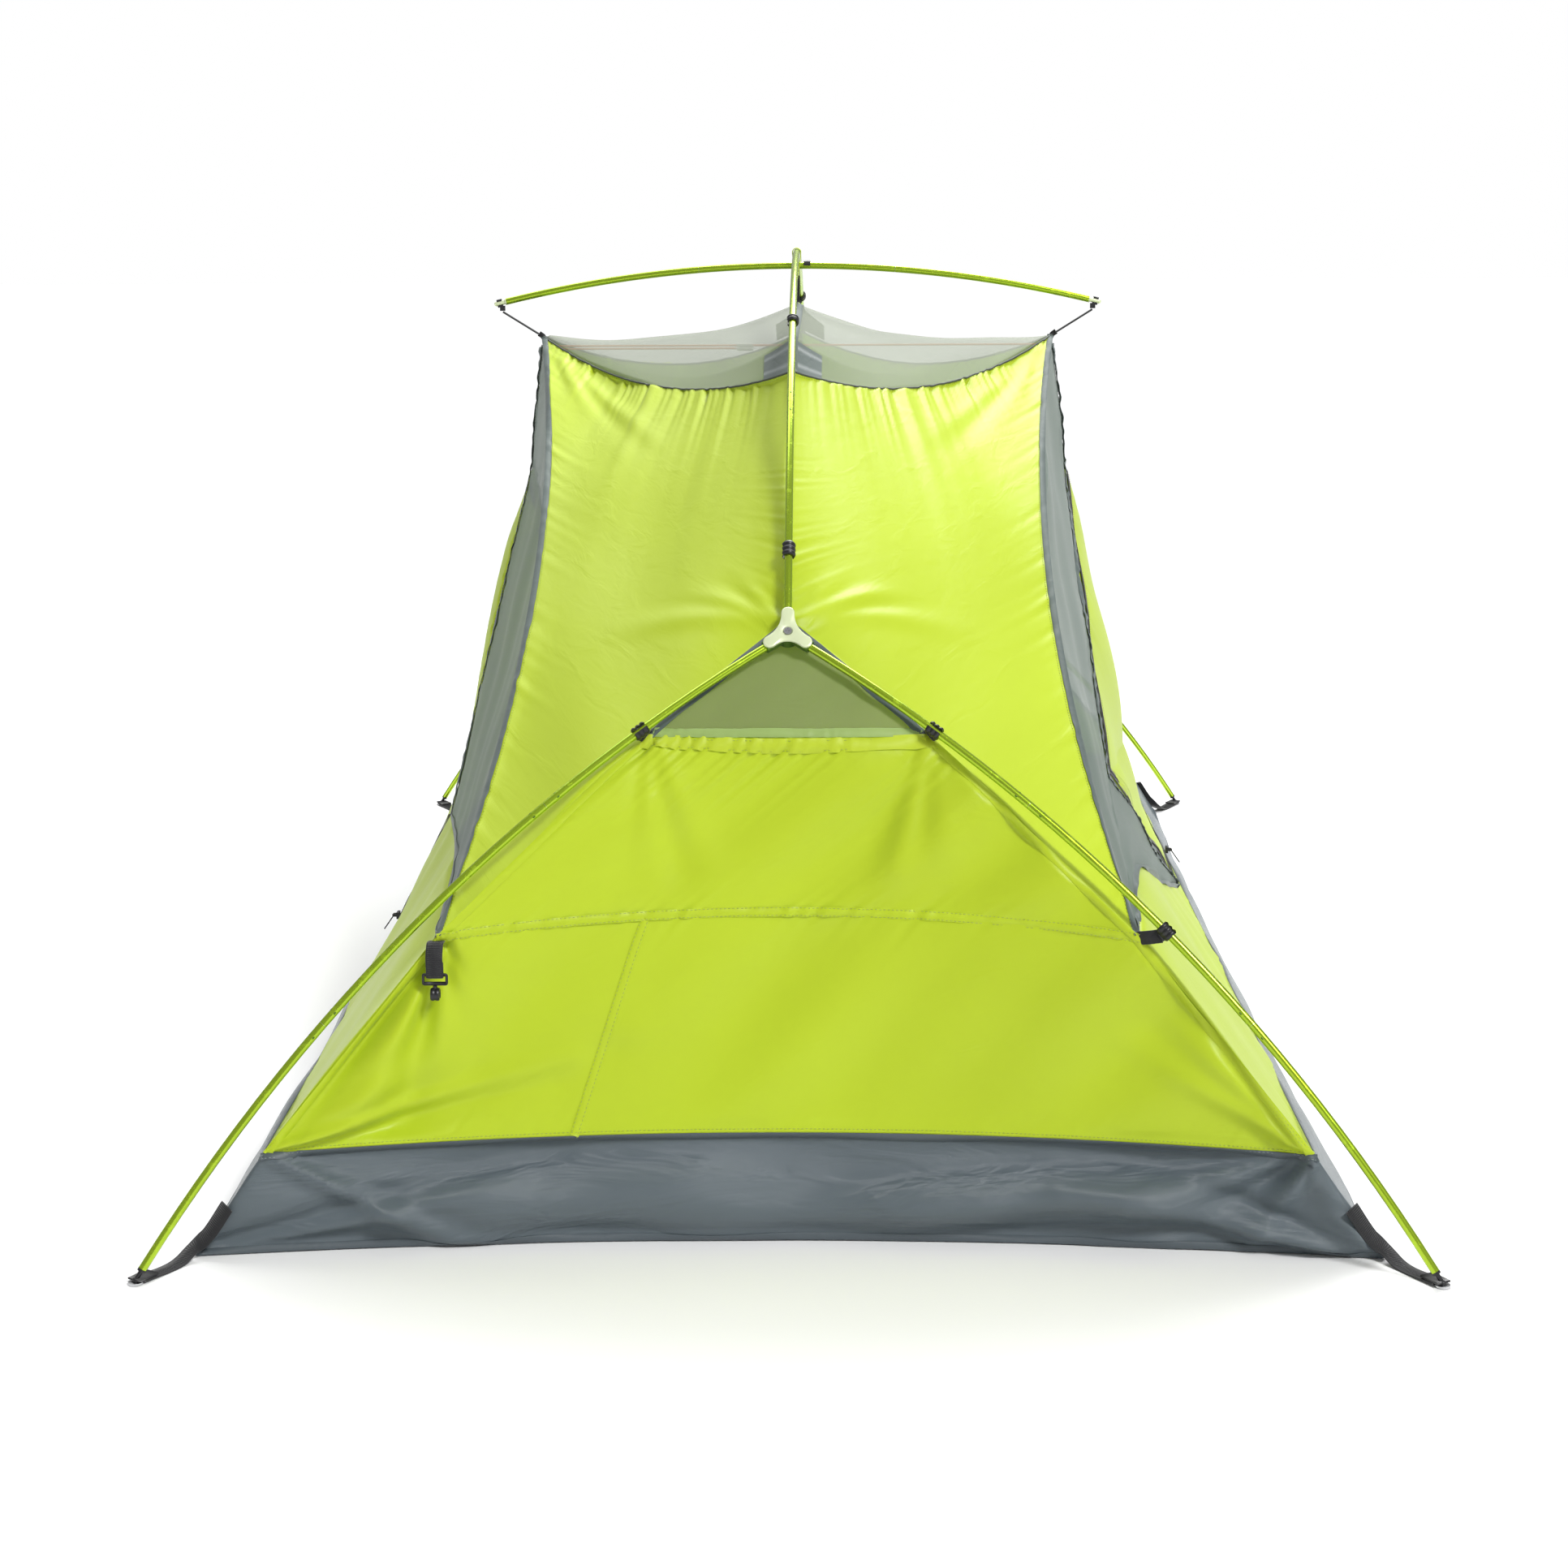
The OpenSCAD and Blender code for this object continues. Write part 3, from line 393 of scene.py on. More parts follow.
class Panel:
    """A cloth panel on a grid, with its own folds, as points, outward normals and lengths along both ways."""

    def __init__(self, surface, counts, u=(0, 1), v=(0, 1), turn=(1, 1, 1), folds=None, hold=0.006):
        us, vs = np.meshgrid(np.linspace(*u, counts[0]), np.linspace(*v, counts[1]), indexing="ij")
        flat = surface(us, vs)
        turn = np.array(turn, float)
        s, t = lengths(flat, 0), lengths(flat, 1)
        normal = grid_normals(flat)
        middle = flat[counts[0] // 2, counts[1] // 2]
        facing = normal[counts[0] // 2, counts[1] // 2] @ (middle - p3(0, middle[1] * 0.5, 0.3))
        if facing < 0:
            normal = -normal
        width, length = s.max(), t.max()
        edge = np.minimum(np.minimum(s, s[-1:, :] - s), np.minimum(t, t[:, -1:] - t))
        near = np.clip(edge / hold, 0, 1) if hold else np.ones_like(edge)
        near = near * near * (3 - 2 * near)
        self.flat_size, self.flat_area = (float(width), float(length)), grid_area(flat)
        if folds:
            flat = flat + normal * col(folds(flat, s, t, us, vs) * near)
        self.points = flat * turn
        self.normals = grid_normals(flat)
        if np.sum(self.normals * normal) < 0:
            self.normals = -self.normals
        self.normals = self.normals * turn
        self.s, self.t = s, t
        built = grid_normals(self.points)
        self.flip = float(np.sum(built * self.normals)) < 0

    def line(self, edge, inset, count=0, lift=0.0005, span=(0, 1)):
        """Points and normals along a line beside one edge, on the outside of the cloth."""
        axis = 1 if edge[0] == "v" else 0
        points, normals = self.points, self.normals
        if axis == 0:
            points, normals = points.transpose(1, 0, 2), normals.transpose(1, 0, 2)
        if edge[1] == "1":
            points, normals = points[:, ::-1], normals[:, ::-1]
        gap = np.linalg.norm(np.diff(points, axis=1), axis=-1)
        run = np.cumsum(np.pad(gap, ((0, 0), (1, 0))), axis=1)
        low, high = (int(round(x * (len(points) - 1))) for x in span)
        path, ups = [], []
        for i in range(low, high + 1):
            path.append([np.interp(inset, run[i], points[i, :, k]) for k in range(3)])
            ups.append([np.interp(inset, run[i], normals[i, :, k]) for k in range(3)])
        path, ups = np.array(path), np.array(ups)
        ups /= np.maximum(np.linalg.norm(ups, axis=1, keepdims=True), 1e-9)
        if count:
            path, ups = resampled(path, ups, count)
        return path + ups * lift, ups


def grid_area(grid):
    a, b, c, d = grid[:-1, :-1], grid[1:, :-1], grid[1:, 1:], grid[:-1, 1:]
    one = np.linalg.norm(np.cross(b - a, c - a), axis=-1)
    two = np.linalg.norm(np.cross(c - a, d - a), axis=-1)
    return float((one.sum() + two.sum()) / 2)


def resampled(path, ups, count):
    run = np.concatenate([[0], np.cumsum(np.linalg.norm(np.diff(path, axis=0), axis=1))])
    at = np.linspace(0, run[-1], count)
    path = np.stack([np.interp(at, run, path[:, k]) for k in range(3)], 1)
    ups = np.stack([np.interp(at, run, ups[:, k]) for k in range(3)], 1)
    return path, ups / np.maximum(np.linalg.norm(ups, axis=1, keepdims=True), 1e-9)


# ---- meshes ----


class Shape:
    """Vertices, faces and cloth lengths, gathered for one piece."""

    def __init__(self):
        self.verts, self.faces, self.uvs, self.count = [], [], [], 0

    def add(self, verts, faces, uvs=None):
        verts = np.asarray(verts, float).reshape(-1, 3)
        self.verts.append(verts)
        self.faces += [[i + self.count for i in f] for f in faces]
        self.uvs.append(verts[:, [0, 2]] if uvs is None else np.asarray(uvs, float).reshape(-1, 2))
        self.count += len(verts)
        return self

    def piece(self, name, body, slot, material, smooth=True):
        mesh = bpy.data.meshes.new(name)
        mesh.from_pydata(np.concatenate(self.verts).tolist(), [], self.faces)
        layer = mesh.uv_layers.new(name="Cloth")
        corner = np.zeros(len(mesh.loops), np.int32)
        mesh.loops.foreach_get("vertex_index", corner)
        layer.data.foreach_set("uv", np.concatenate(self.uvs)[corner].astype(np.float32).ravel())
        mesh.materials.append(material)
        mesh.polygons.foreach_set("use_smooth", [smooth] * len(mesh.polygons))
        mesh.update()
        obj = bpy.data.objects.new(name, mesh)
        bpy.context.scene.collection.objects.link(obj)
        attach(obj, body)
        return obj


def grid_faces(n, m, flip=False, closed=False):
    """Faces of a grid of n by m points, where m is along the second way and may close on itself."""
    i, j = np.meshgrid(np.arange(n - 1), np.arange(m if closed else m - 1), indexing="ij")
    k, right = (i * m + j).ravel(), (i * m + (j + 1) % m).ravel()
    quads = np.stack([k, k + m, right + m, right], 1)
    return (quads[:, ::-1] if flip else quads).tolist()


def cloth(panel, shape=None):
    shape = shape or Shape()
    n, m = panel.points.shape[:2]
    uv = np.stack([panel.s, panel.t], -1)
    return shape.add(panel.points, grid_faces(n, m, panel.flip), uv)


def thicken(obj, thickness):
    solid = obj.modifiers.new("Cloth thickness", "SOLIDIFY")
    solid.thickness = thickness
    solid.offset = 0
    return obj


def path_frames(path, ups):
    tangent = np.gradient(path, axis=0)
    tangent /= np.maximum(np.linalg.norm(tangent, axis=1, keepdims=True), 1e-12)
    side = np.cross(ups, tangent)
    side /= np.maximum(np.linalg.norm(side, axis=1, keepdims=True), 1e-12)
    return tangent, side, np.cross(tangent, side)


def swept(shape, path, ups, profile, closed=False):
    """Sweeps a profile of (side, up) points along a path, with its ends closed."""
    path, ups, profile = (np.asarray(x, float) for x in (path, ups, profile))
    if len(ups) != len(path):
        ups = np.broadcast_to(ups, path.shape)
    _, side, up = path_frames(path, ups)
    rings = path[:, None] + profile[None, :, :1] * side[:, None] + profile[None, :, 1:] * up[:, None]
    n, m = len(path), len(profile)
    run = np.concatenate([[0], np.cumsum(np.linalg.norm(np.diff(path, axis=0), axis=1))])
    around = np.concatenate([[0], np.cumsum(np.linalg.norm(np.diff(profile, axis=0), axis=1))])
    uv = np.stack(np.meshgrid(run, around, indexing="ij"), -1)
    faces = grid_faces(n, m, flip=True, closed=True)
    if closed:
        last = (n - 1) * m
        faces += [[last + j, last + (j + 1) % m, (j + 1) % m, j] for j in range(m)]
    else:
        faces += [list(range(m)), [(n - 1) * m + j for j in reversed(range(m))]]
    return shape.add(rings, faces, uv)


def flat_profile(width, thick, soft=0.35):
    """A flat strip's section with softened edges, its middle at 0."""
    w, t, c = width / 2, thick / 2, min(width, thick) * soft
    lower = [(-w, -t + c), (-w + c, -t), (w - c, -t), (w, -t + c)]
    return lower + [(-x, -y) for x, y in lower]


def round_profile(radius, count=10):
    angles = np.linspace(0, 2 * np.pi, count, endpoint=False)
    return [(radius * math.cos(a), radius * math.sin(a)) for a in angles]


def arc(centre, start, end, radius, axis_x, axis_y, count):
    """Points on a circle, between two angles in degrees, in the plane of two axes."""
    a = np.radians(np.linspace(start, end, count))
    return centre + radius * (col(np.cos(a)) * axis_x + col(np.sin(a)) * axis_y)


def ring_of(shape, centre, axis, mouth_dir, section, mouth, count=28):
    """An open ring of (along, radius) points round an axis. Its gap of mouth degrees faces mouth_dir."""
    axis = axis / np.linalg.norm(axis)
    x = mouth_dir - (mouth_dir @ axis) * axis
    x /= np.linalg.norm(x)
    y = np.cross(axis, x)
    angles = np.radians(np.linspace(mouth / 2, 360 - mouth / 2, count))
    radial = col(np.cos(angles)) * x + col(np.sin(angles)) * y
    rings = centre + np.array([[r * d + a * axis for a, r in section] for d in radial])
    n, m = rings.shape[:2]
    faces = grid_faces(n, m, closed=True) + [list(reversed(range(m))), [(n - 1) * m + j for j in range(m)]]
    return shape.add(rings, faces)


def barrel(length, inner, outer, rib, ribs):
    """The section of a clip's ring: a smooth bore, and rounded ribs round the outside."""
    h = length / 2
    section = [(-h, inner), (h, inner)]
    xs = np.linspace(h, -h, 8 * ribs + 1)
    for x in xs:
        phase = (x + h) / length * ribs
        height = rib * (0.5 - 0.5 * math.cos(2 * np.pi * phase)) ** 0.6
        section.append((x, outer + height))
    return section


# ---- beads along paths: stitches, zip teeth, ribs and crimps ----


def bead_tree():
    name = "Beads along paths"
    tree = bpy.data.node_groups.get(name)
    if tree:
        return tree
    tree = bpy.data.node_groups.new(name, "GeometryNodeTree")
    face = tree.interface
    face.new_socket("Paths", in_out="INPUT", socket_type="NodeSocketGeometry")
    sizes = ("Pitch", 0.004), ("Bead length", 0.003), ("Bead width", 0.001), ("Bead height", 0.001)
    for label, size in sizes:
        socket = face.new_socket(label, in_out="INPUT", socket_type="NodeSocketFloat")
        socket.default_value = size
        socket.subtype = "DISTANCE"
    face.new_socket("Material", in_out="INPUT", socket_type="NodeSocketMaterial")
    face.new_socket("Beads", in_out="OUTPUT", socket_type="NodeSocketGeometry")
    new, link = tree.nodes.new, tree.links.new
    given, out = new("NodeGroupInput"), new("NodeGroupOutput")
    curve, spaced = new("GeometryNodeMeshToCurve"), new("GeometryNodeResampleCurve")
    spaced.mode = "LENGTH"
    tangent, up = new("GeometryNodeInputTangent"), new("GeometryNodeInputNamedAttribute")
    up.data_type = "FLOAT_VECTOR"
    up.inputs["Name"].default_value = "up"
    along, level = new("FunctionNodeAlignRotationToVector"), new("FunctionNodeAlignRotationToVector")
    along.axis = "X"
    level.axis, level.pivot_axis = "Z", "X"
    bead, size = new("GeometryNodeMeshIcoSphere"), new("ShaderNodeCombineXYZ")
    bead.inputs["Radius"].default_value = 0.5
    bead.inputs["Subdivisions"].default_value = 1
    put, real, paint = (
        new("GeometryNodeInstanceOnPoints"),
        new("GeometryNodeRealizeInstances"),
        new("GeometryNodeSetMaterial"),
    )
    smooth = new("GeometryNodeSetShadeSmooth")
    link(given.outputs["Paths"], curve.inputs[0])
    link(curve.outputs[0], spaced.inputs["Curve"])
    link(given.outputs["Pitch"], spaced.inputs["Length"])
    link(tangent.outputs[0], along.inputs["Vector"])
    link(along.outputs[0], level.inputs["Rotation"])
    link(up.outputs[0], level.inputs["Vector"])
    for socket, label in zip(size.inputs, ("Bead length", "Bead width", "Bead height")):
        link(given.outputs[label], socket)
    link(spaced.outputs[0], put.inputs["Points"])
    link(bead.outputs["Mesh"], smooth.inputs["Geometry"])
    link(smooth.outputs[0], put.inputs["Instance"])
    link(level.outputs[0], put.inputs["Rotation"])
    link(size.outputs[0], put.inputs["Scale"])
    link(put.outputs[0], real.inputs[0])
    link(real.outputs[0], paint.inputs["Geometry"])
    link(given.outputs["Material"], paint.inputs["Material"])
    link(paint.outputs[0], out.inputs[0])
    return tree


def beads(name, body, paths, pitch, size, material):
    """Puts small rounded beads at an even pitch along paths of (points, ups), as one plain mesh."""
    verts, ups, edges, count = [], [], [], 0
    for path, up in paths:
        verts.append(path)
        ups.append(np.broadcast_to(up, path.shape))
        edges += [(count + i, count + i + 1) for i in range(len(path) - 1)]
        count += len(path)
    mesh = bpy.data.meshes.new(name + "_paths")
    mesh.from_pydata(np.concatenate(verts).tolist(), edges, [])
    mesh.attributes.new("up", "FLOAT_VECTOR", "POINT").data.foreach_set(
        "vector", np.concatenate(ups).astype(np.float32).ravel()
    )
    source = bpy.data.objects.new(name + "_paths", mesh)
    bpy.context.scene.collection.objects.link(source)
    tree = bead_tree()
    modifier = source.modifiers.new("Beads", "NODES")
    modifier.node_group = tree
    values = dict(zip(("Bead length", "Bead width", "Bead height"), size))
    values.update({"Pitch": pitch, "Material": material})
    for item in tree.interface.items_tree:
        if item.in_out == "INPUT" and item.name in values:
            modifier[item.identifier] = values[item.name]
    bpy.context.view_layer.update()
    made = bpy.data.meshes.new_from_object(source.evaluated_get(bpy.context.evaluated_depsgraph_get()))
    bpy.data.objects.remove(source)
    bpy.data.meshes.remove(mesh)
    made.name = name
    obj = bpy.data.objects.new(name, made)
    bpy.context.scene.collection.objects.link(obj)
    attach(obj, body)
    return obj


# ---- finishes ----


class Wires:
    """A material's node tree, with short ways to make its nodes and wires."""

    def __init__(self, tree):
        self.tree, self.nodes, self.links = tree, tree.nodes, tree.links

    def node(self, kind, **settings):
        node = self.nodes.new(kind)
        for key, value in settings.items():
            if hasattr(node, key):
                setattr(node, key, value)
            else:
                node.inputs[key.replace("_", " ")].default_value = value
        return node

    def join(self, source, target):
        self.links.new(source, target)

    def math(self, kind, a, b=0.0, c=0.0, clamp=False):
        node = self.nodes.new("ShaderNodeMath")
        node.operation, node.use_clamp = kind, clamp
        for socket, value in zip(node.inputs, (a, b, c)):
            if isinstance(value, (int, float)):
                socket.default_value = value
            else:
                self.links.new(value, socket)
        return node.outputs[0]

    def mix(self, factor, a, b, blend="MIX"):
        node = self.nodes.new("ShaderNodeMix")
        node.data_type, node.blend_type = "RGBA", blend
        for socket, value in ((node.inputs[0], factor), (node.inputs[6], a), (node.inputs[7], b)):
            if isinstance(value, (int, float)):
                socket.default_value = value
            elif isinstance(value, (tuple, list)):
                socket.default_value = (*value, 1)
            else:
                self.links.new(value, socket)
        return node.outputs[2]


def shader_group(name, inputs, outputs):
    """A shader group with named sockets. If it is there already, None comes in place of its wires."""
    found = bpy.data.node_groups.get(name)
    if found:
        return found, None, None, None
    tree = bpy.data.node_groups.new(name, "ShaderNodeTree")
    for label, kind, value in inputs:
        socket = tree.interface.new_socket(label, in_out="INPUT", socket_type=kind)
        if value is not None:
            socket.default_value = value
    for label, kind in outputs:
        tree.interface.new_socket(label, in_out="OUTPUT", socket_type=kind)
    w = Wires(tree)
    return tree, w, w.node("NodeGroupInput"), w.node("NodeGroupOutput")


def woven_group():
    """Threads crossing at right angles, soft crinkles and an uneven tint."""
    floats = "NodeSocketFloat"
    tree, w, given, out = shader_group(
        "Woven cloth",
        [
            ("Vector", "NodeSocketVector", None),
            ("Threads", floats, 800.0),
            ("Crinkle", floats, 40.0),
            ("Crease depth", floats, 0.5),
            ("Stretch", floats, 1.0),
        ],
        [("Height", floats), ("Tint", floats), ("Thread", floats)],
    )
    if not w:
        return tree
    bands = []
    for direction in ("X", "Y"):
        band = w.node("ShaderNodeTexWave", bands_direction=direction, Distortion=0.6, Detail=1.0)
        w.join(given.outputs["Vector"], band.inputs["Vector"])
        w.join(given.outputs["Threads"], band.inputs["Scale"])
        bands.append(band.outputs["Fac"])
    thread = w.math("MAXIMUM", *bands)
    parts, drawn = w.node("ShaderNodeSeparateXYZ"), w.node("ShaderNodeCombineXYZ")
    w.join(given.outputs["Vector"], parts.inputs[0])
    w.join(w.math("MULTIPLY", parts.outputs[0], given.outputs["Stretch"]), drawn.inputs[0])
    w.join(parts.outputs[1], drawn.inputs[1])
    soft = w.node("ShaderNodeTexNoise", Detail=3.0, Roughness=0.55, Distortion=0.7)
    w.join(drawn.outputs[0], soft.inputs["Vector"])
    w.join(given.outputs["Crinkle"], soft.inputs["Scale"])
    cell = w.node("ShaderNodeTexVoronoi", feature="DISTANCE_TO_EDGE", Randomness=1.0)
    w.join(drawn.outputs[0], cell.inputs["Vector"])
    w.join(w.math("MULTIPLY", given.outputs["Crinkle"], 0.32), cell.inputs["Scale"])
    sharp = w.math("SUBTRACT", 1.0, w.math("MULTIPLY", cell.outputs["Distance"], 12.0), clamp=True)
    patchy = w.math("MULTIPLY", w.math("SUBTRACT", soft.outputs["Fac"], 0.42), 4.0, clamp=True)
    sharp = w.math("MULTIPLY", w.math("MULTIPLY", sharp, patchy), given.outputs["Crease depth"])
    height = w.math("ADD", w.math("MULTIPLY", thread, 0.02), w.math("ADD", soft.outputs["Fac"], sharp))
    slow = w.node("ShaderNodeTexNoise", Scale=3.1, Detail=2.0)
    w.join(given.outputs["Vector"], slow.inputs["Vector"])
    w.join(height, out.inputs["Height"])
    w.join(slow.outputs["Fac"], out.inputs["Tint"])
    w.join(thread, out.inputs["Thread"])
    return tree


def net_group():
    """Fine knitted netting: 1 on its threads, 0 in its holes, softened so that it holds at a distance."""
    floats = "NodeSocketFloat"
    tree, w, given, out = shader_group(
        "Fine netting",
        [
            ("Vector", "NodeSocketVector", None),
            ("Holes", floats, 800.0),
            ("Open", floats, 0.3),
            ("Shut", floats, 0.8),
        ],
        [("Cover", floats), ("Tint", floats)],
    )
    if not w:
        return tree
    cell = w.node("ShaderNodeTexVoronoi", feature="DISTANCE_TO_EDGE", Randomness=0.15)
    w.join(given.outputs["Vector"], cell.inputs["Vector"])
    w.join(given.outputs["Holes"], cell.inputs["Scale"])
    thread = w.math("SUBTRACT", 1.0, w.math("MULTIPLY", cell.outputs["Distance"], 4.0), clamp=True)
    slow = w.node("ShaderNodeTexNoise", Scale=5.0, Detail=2.0)
    w.join(given.outputs["Vector"], slow.inputs["Vector"])
    span = w.math("SUBTRACT", given.outputs["Shut"], given.outputs["Open"])
    w.join(w.math("ADD", given.outputs["Open"], w.math("MULTIPLY", span, thread)), out.inputs["Cover"])
    w.join(slow.outputs["Fac"], out.inputs["Tint"])
    return tree


def wear_group():
    """Small scuffs and grains for plastic and metal."""
    floats = "NodeSocketFloat"
    tree, w, given, out = shader_group(
        "Scuffs and grain",
        [("Vector", "NodeSocketVector", None), ("Grain", floats, 900.0), ("Scuffs", floats, 60.0)],
        [("Height", floats), ("Scuff", floats), ("Tint", floats)],
    )
    if not w:
        return tree
    grain = w.node("ShaderNodeTexNoise", Detail=2.0)
    scuff = w.node("ShaderNodeTexNoise", Detail=5.0, Roughness=0.7)
    slow = w.node("ShaderNodeTexNoise", Scale=9.0, Detail=1.0)
    for node, label in ((grain, "Grain"), (scuff, "Scuffs"), (slow, None)):
        w.join(given.outputs["Vector"], node.inputs["Vector"])
        if label:
            w.join(given.outputs[label], node.inputs["Scale"])
    mask = w.math("MULTIPLY", w.math("SUBTRACT", scuff.outputs["Fac"], 0.56), 7.0, clamp=True)
    w.join(grain.outputs["Fac"], out.inputs["Height"])
    w.join(mask, out.inputs["Scuff"])
    w.join(slow.outputs["Fac"], out.inputs["Tint"])
    return tree


def finish_base(name):
    material = bpy.data.materials.new(name)
    material.use_nodes = True
    w = Wires(material.node_tree)
    w.nodes.clear()
    shader, out = w.node("ShaderNodeBsdfPrincipled"), w.node("ShaderNodeOutputMaterial")
    w.join(shader.outputs[0], out.inputs["Surface"])
    return material, w, shader, out


def put_group(w, tree, vector, **values):
    node = w.nodes.new("ShaderNodeGroup")
    node.node_tree = tree
    w.join(vector, node.inputs["Vector"])
    for key, value in values.items():
        node.inputs[key.replace("_", " ")].default_value = value
    return node


def cloth_finish(
    name, colour, dark, glow, roughness, crinkle, depth, bump,
    sheen=0.15, crease=0.5, threads=700.0, stretch=1.0,
):
    """Proofed woven cloth. glow is the share of light that comes through it."""
    material, w, shader, out = finish_base(name)
    uv = w.node("ShaderNodeUVMap", uv_map="Cloth")
    weave = put_group(w, woven_group(), uv.outputs[0], Threads=threads, Crinkle=crinkle, Crease_depth=crease)
    weave.inputs["Stretch"].default_value = stretch
    tint = w.math("MULTIPLY", w.math("SUBTRACT", weave.outputs["Tint"], 0.3), 1.8, clamp=True)
    tone = w.mix(tint, dark, colour)
    tone = w.mix(w.math("MULTIPLY", weave.outputs["Thread"], 0.10), tone, tuple(0.8 * c for c in colour))
    rough = w.math("ADD", roughness - 0.06, w.math("MULTIPLY", weave.outputs["Tint"], 0.12))
    bumped = w.node("ShaderNodeBump", Strength=bump, Distance=depth)
    w.join(weave.outputs["Height"], bumped.inputs["Height"])
    w.join(tone, shader.inputs["Base Color"])
    w.join(rough, shader.inputs["Roughness"])
    w.join(bumped.outputs[0], shader.inputs["Normal"])
    shader.inputs["Specular IOR Level"].default_value = 0.45
    shader.inputs["Sheen Weight"].default_value = sheen
    shader.inputs["Sheen Roughness"].default_value = 0.4
    if glow:
        behind, both = w.node("ShaderNodeBsdfTranslucent"), w.node("ShaderNodeMixShader", Fac=glow)
        w.join(tone, behind.inputs["Color"])
        w.join(bumped.outputs[0], behind.inputs["Normal"])
        w.join(shader.outputs[0], both.inputs[1])
        w.join(behind.outputs[0], both.inputs[2])
        w.join(both.outputs[0], out.inputs["Surface"])
    return material


def net_finish(name, colour, light, closed, shut, holes=820.0):
    material, w, shader, _ = finish_base(name)
    uv = w.node("ShaderNodeUVMap", uv_map="Cloth")
    net = put_group(w, net_group(), uv.outputs[0], Holes=holes, Open=closed, Shut=shut)
    w.join(w.mix(net.outputs["Tint"], colour, light), shader.inputs["Base Color"])
    w.join(net.outputs["Cover"], shader.inputs["Alpha"])
    w.join(w.math("ADD", 0.6, w.math("MULTIPLY", net.outputs["Tint"], 0.2)), shader.inputs["Roughness"])
    shader.inputs["Sheen Weight"].default_value = 0.2
    return material


def hard_finish(name, colour, worn, roughness, metal=0.0, grain=900.0, bump=0.15, coat=0.0, level=0.5):
    """Moulded plastic or anodised alloy, with grain and light scuffs."""
    material, w, shader, _ = finish_base(name)
    where = w.node("ShaderNodeTexCoord")
    wear = put_group(w, wear_group(), where.outputs["Object"], Grain=grain)
    tone = w.mix(w.math("MULTIPLY", wear.outputs["Scuff"], 0.5), colour, worn)
    tone = w.mix(w.math("MULTIPLY", wear.outputs["Tint"], 0.25), tone, tuple(0.75 * c for c in colour))
    w.join(tone, shader.inputs["Base Color"])
    rough = w.math("ADD", roughness, w.math("MULTIPLY", wear.outputs["Scuff"], 0.14), clamp=True)
    w.join(rough, shader.inputs["Roughness"])
    bumped = w.node("ShaderNodeBump", Strength=bump, Distance=0.0001)
    w.join(wear.outputs["Height"], bumped.inputs["Height"])
    w.join(bumped.outputs[0], shader.inputs["Normal"])
    shader.inputs["Metallic"].default_value = metal
    shader.inputs["Specular IOR Level"].default_value = level
    shader.inputs["Coat Weight"].default_value = coat
    shader.inputs["Coat Roughness"].default_value = 0.12
    return material


def braid_finish(name, colour, light, pitch, roughness=0.65):
    """Braided cord or elastic: slanting strands, read from the place on the piece."""
    material, w, shader, _ = finish_base(name)
    where = w.node("ShaderNodeTexCoord")
    waves_ = []
    for direction in ("DIAGONAL", "Z"):
        band = w.node("ShaderNodeTexWave", bands_direction=direction, Scale=0.314 / pitch, Distortion=0.8)
        w.join(where.outputs["Object"], band.inputs["Vector"])
        waves_.append(band.outputs["Fac"])
    strand = w.math("MULTIPLY", *waves_)
    w.join(w.mix(strand, colour, light), shader.inputs["Base Color"])
    bumped = w.node("ShaderNodeBump", Strength=0.5, Distance=0.0003)
    w.join(strand, bumped.inputs["Height"])
    w.join(bumped.outputs[0], shader.inputs["Normal"])
    w.join(w.math("ADD", roughness, w.math("MULTIPLY", strand, 0.15)), shader.inputs["Roughness"])
    shader.inputs["Sheen Weight"].default_value = 0.2
    return material


FINISHES = {}


def scaled(colour, k):
    return tuple(min(1.0, k * c) for c in colour)


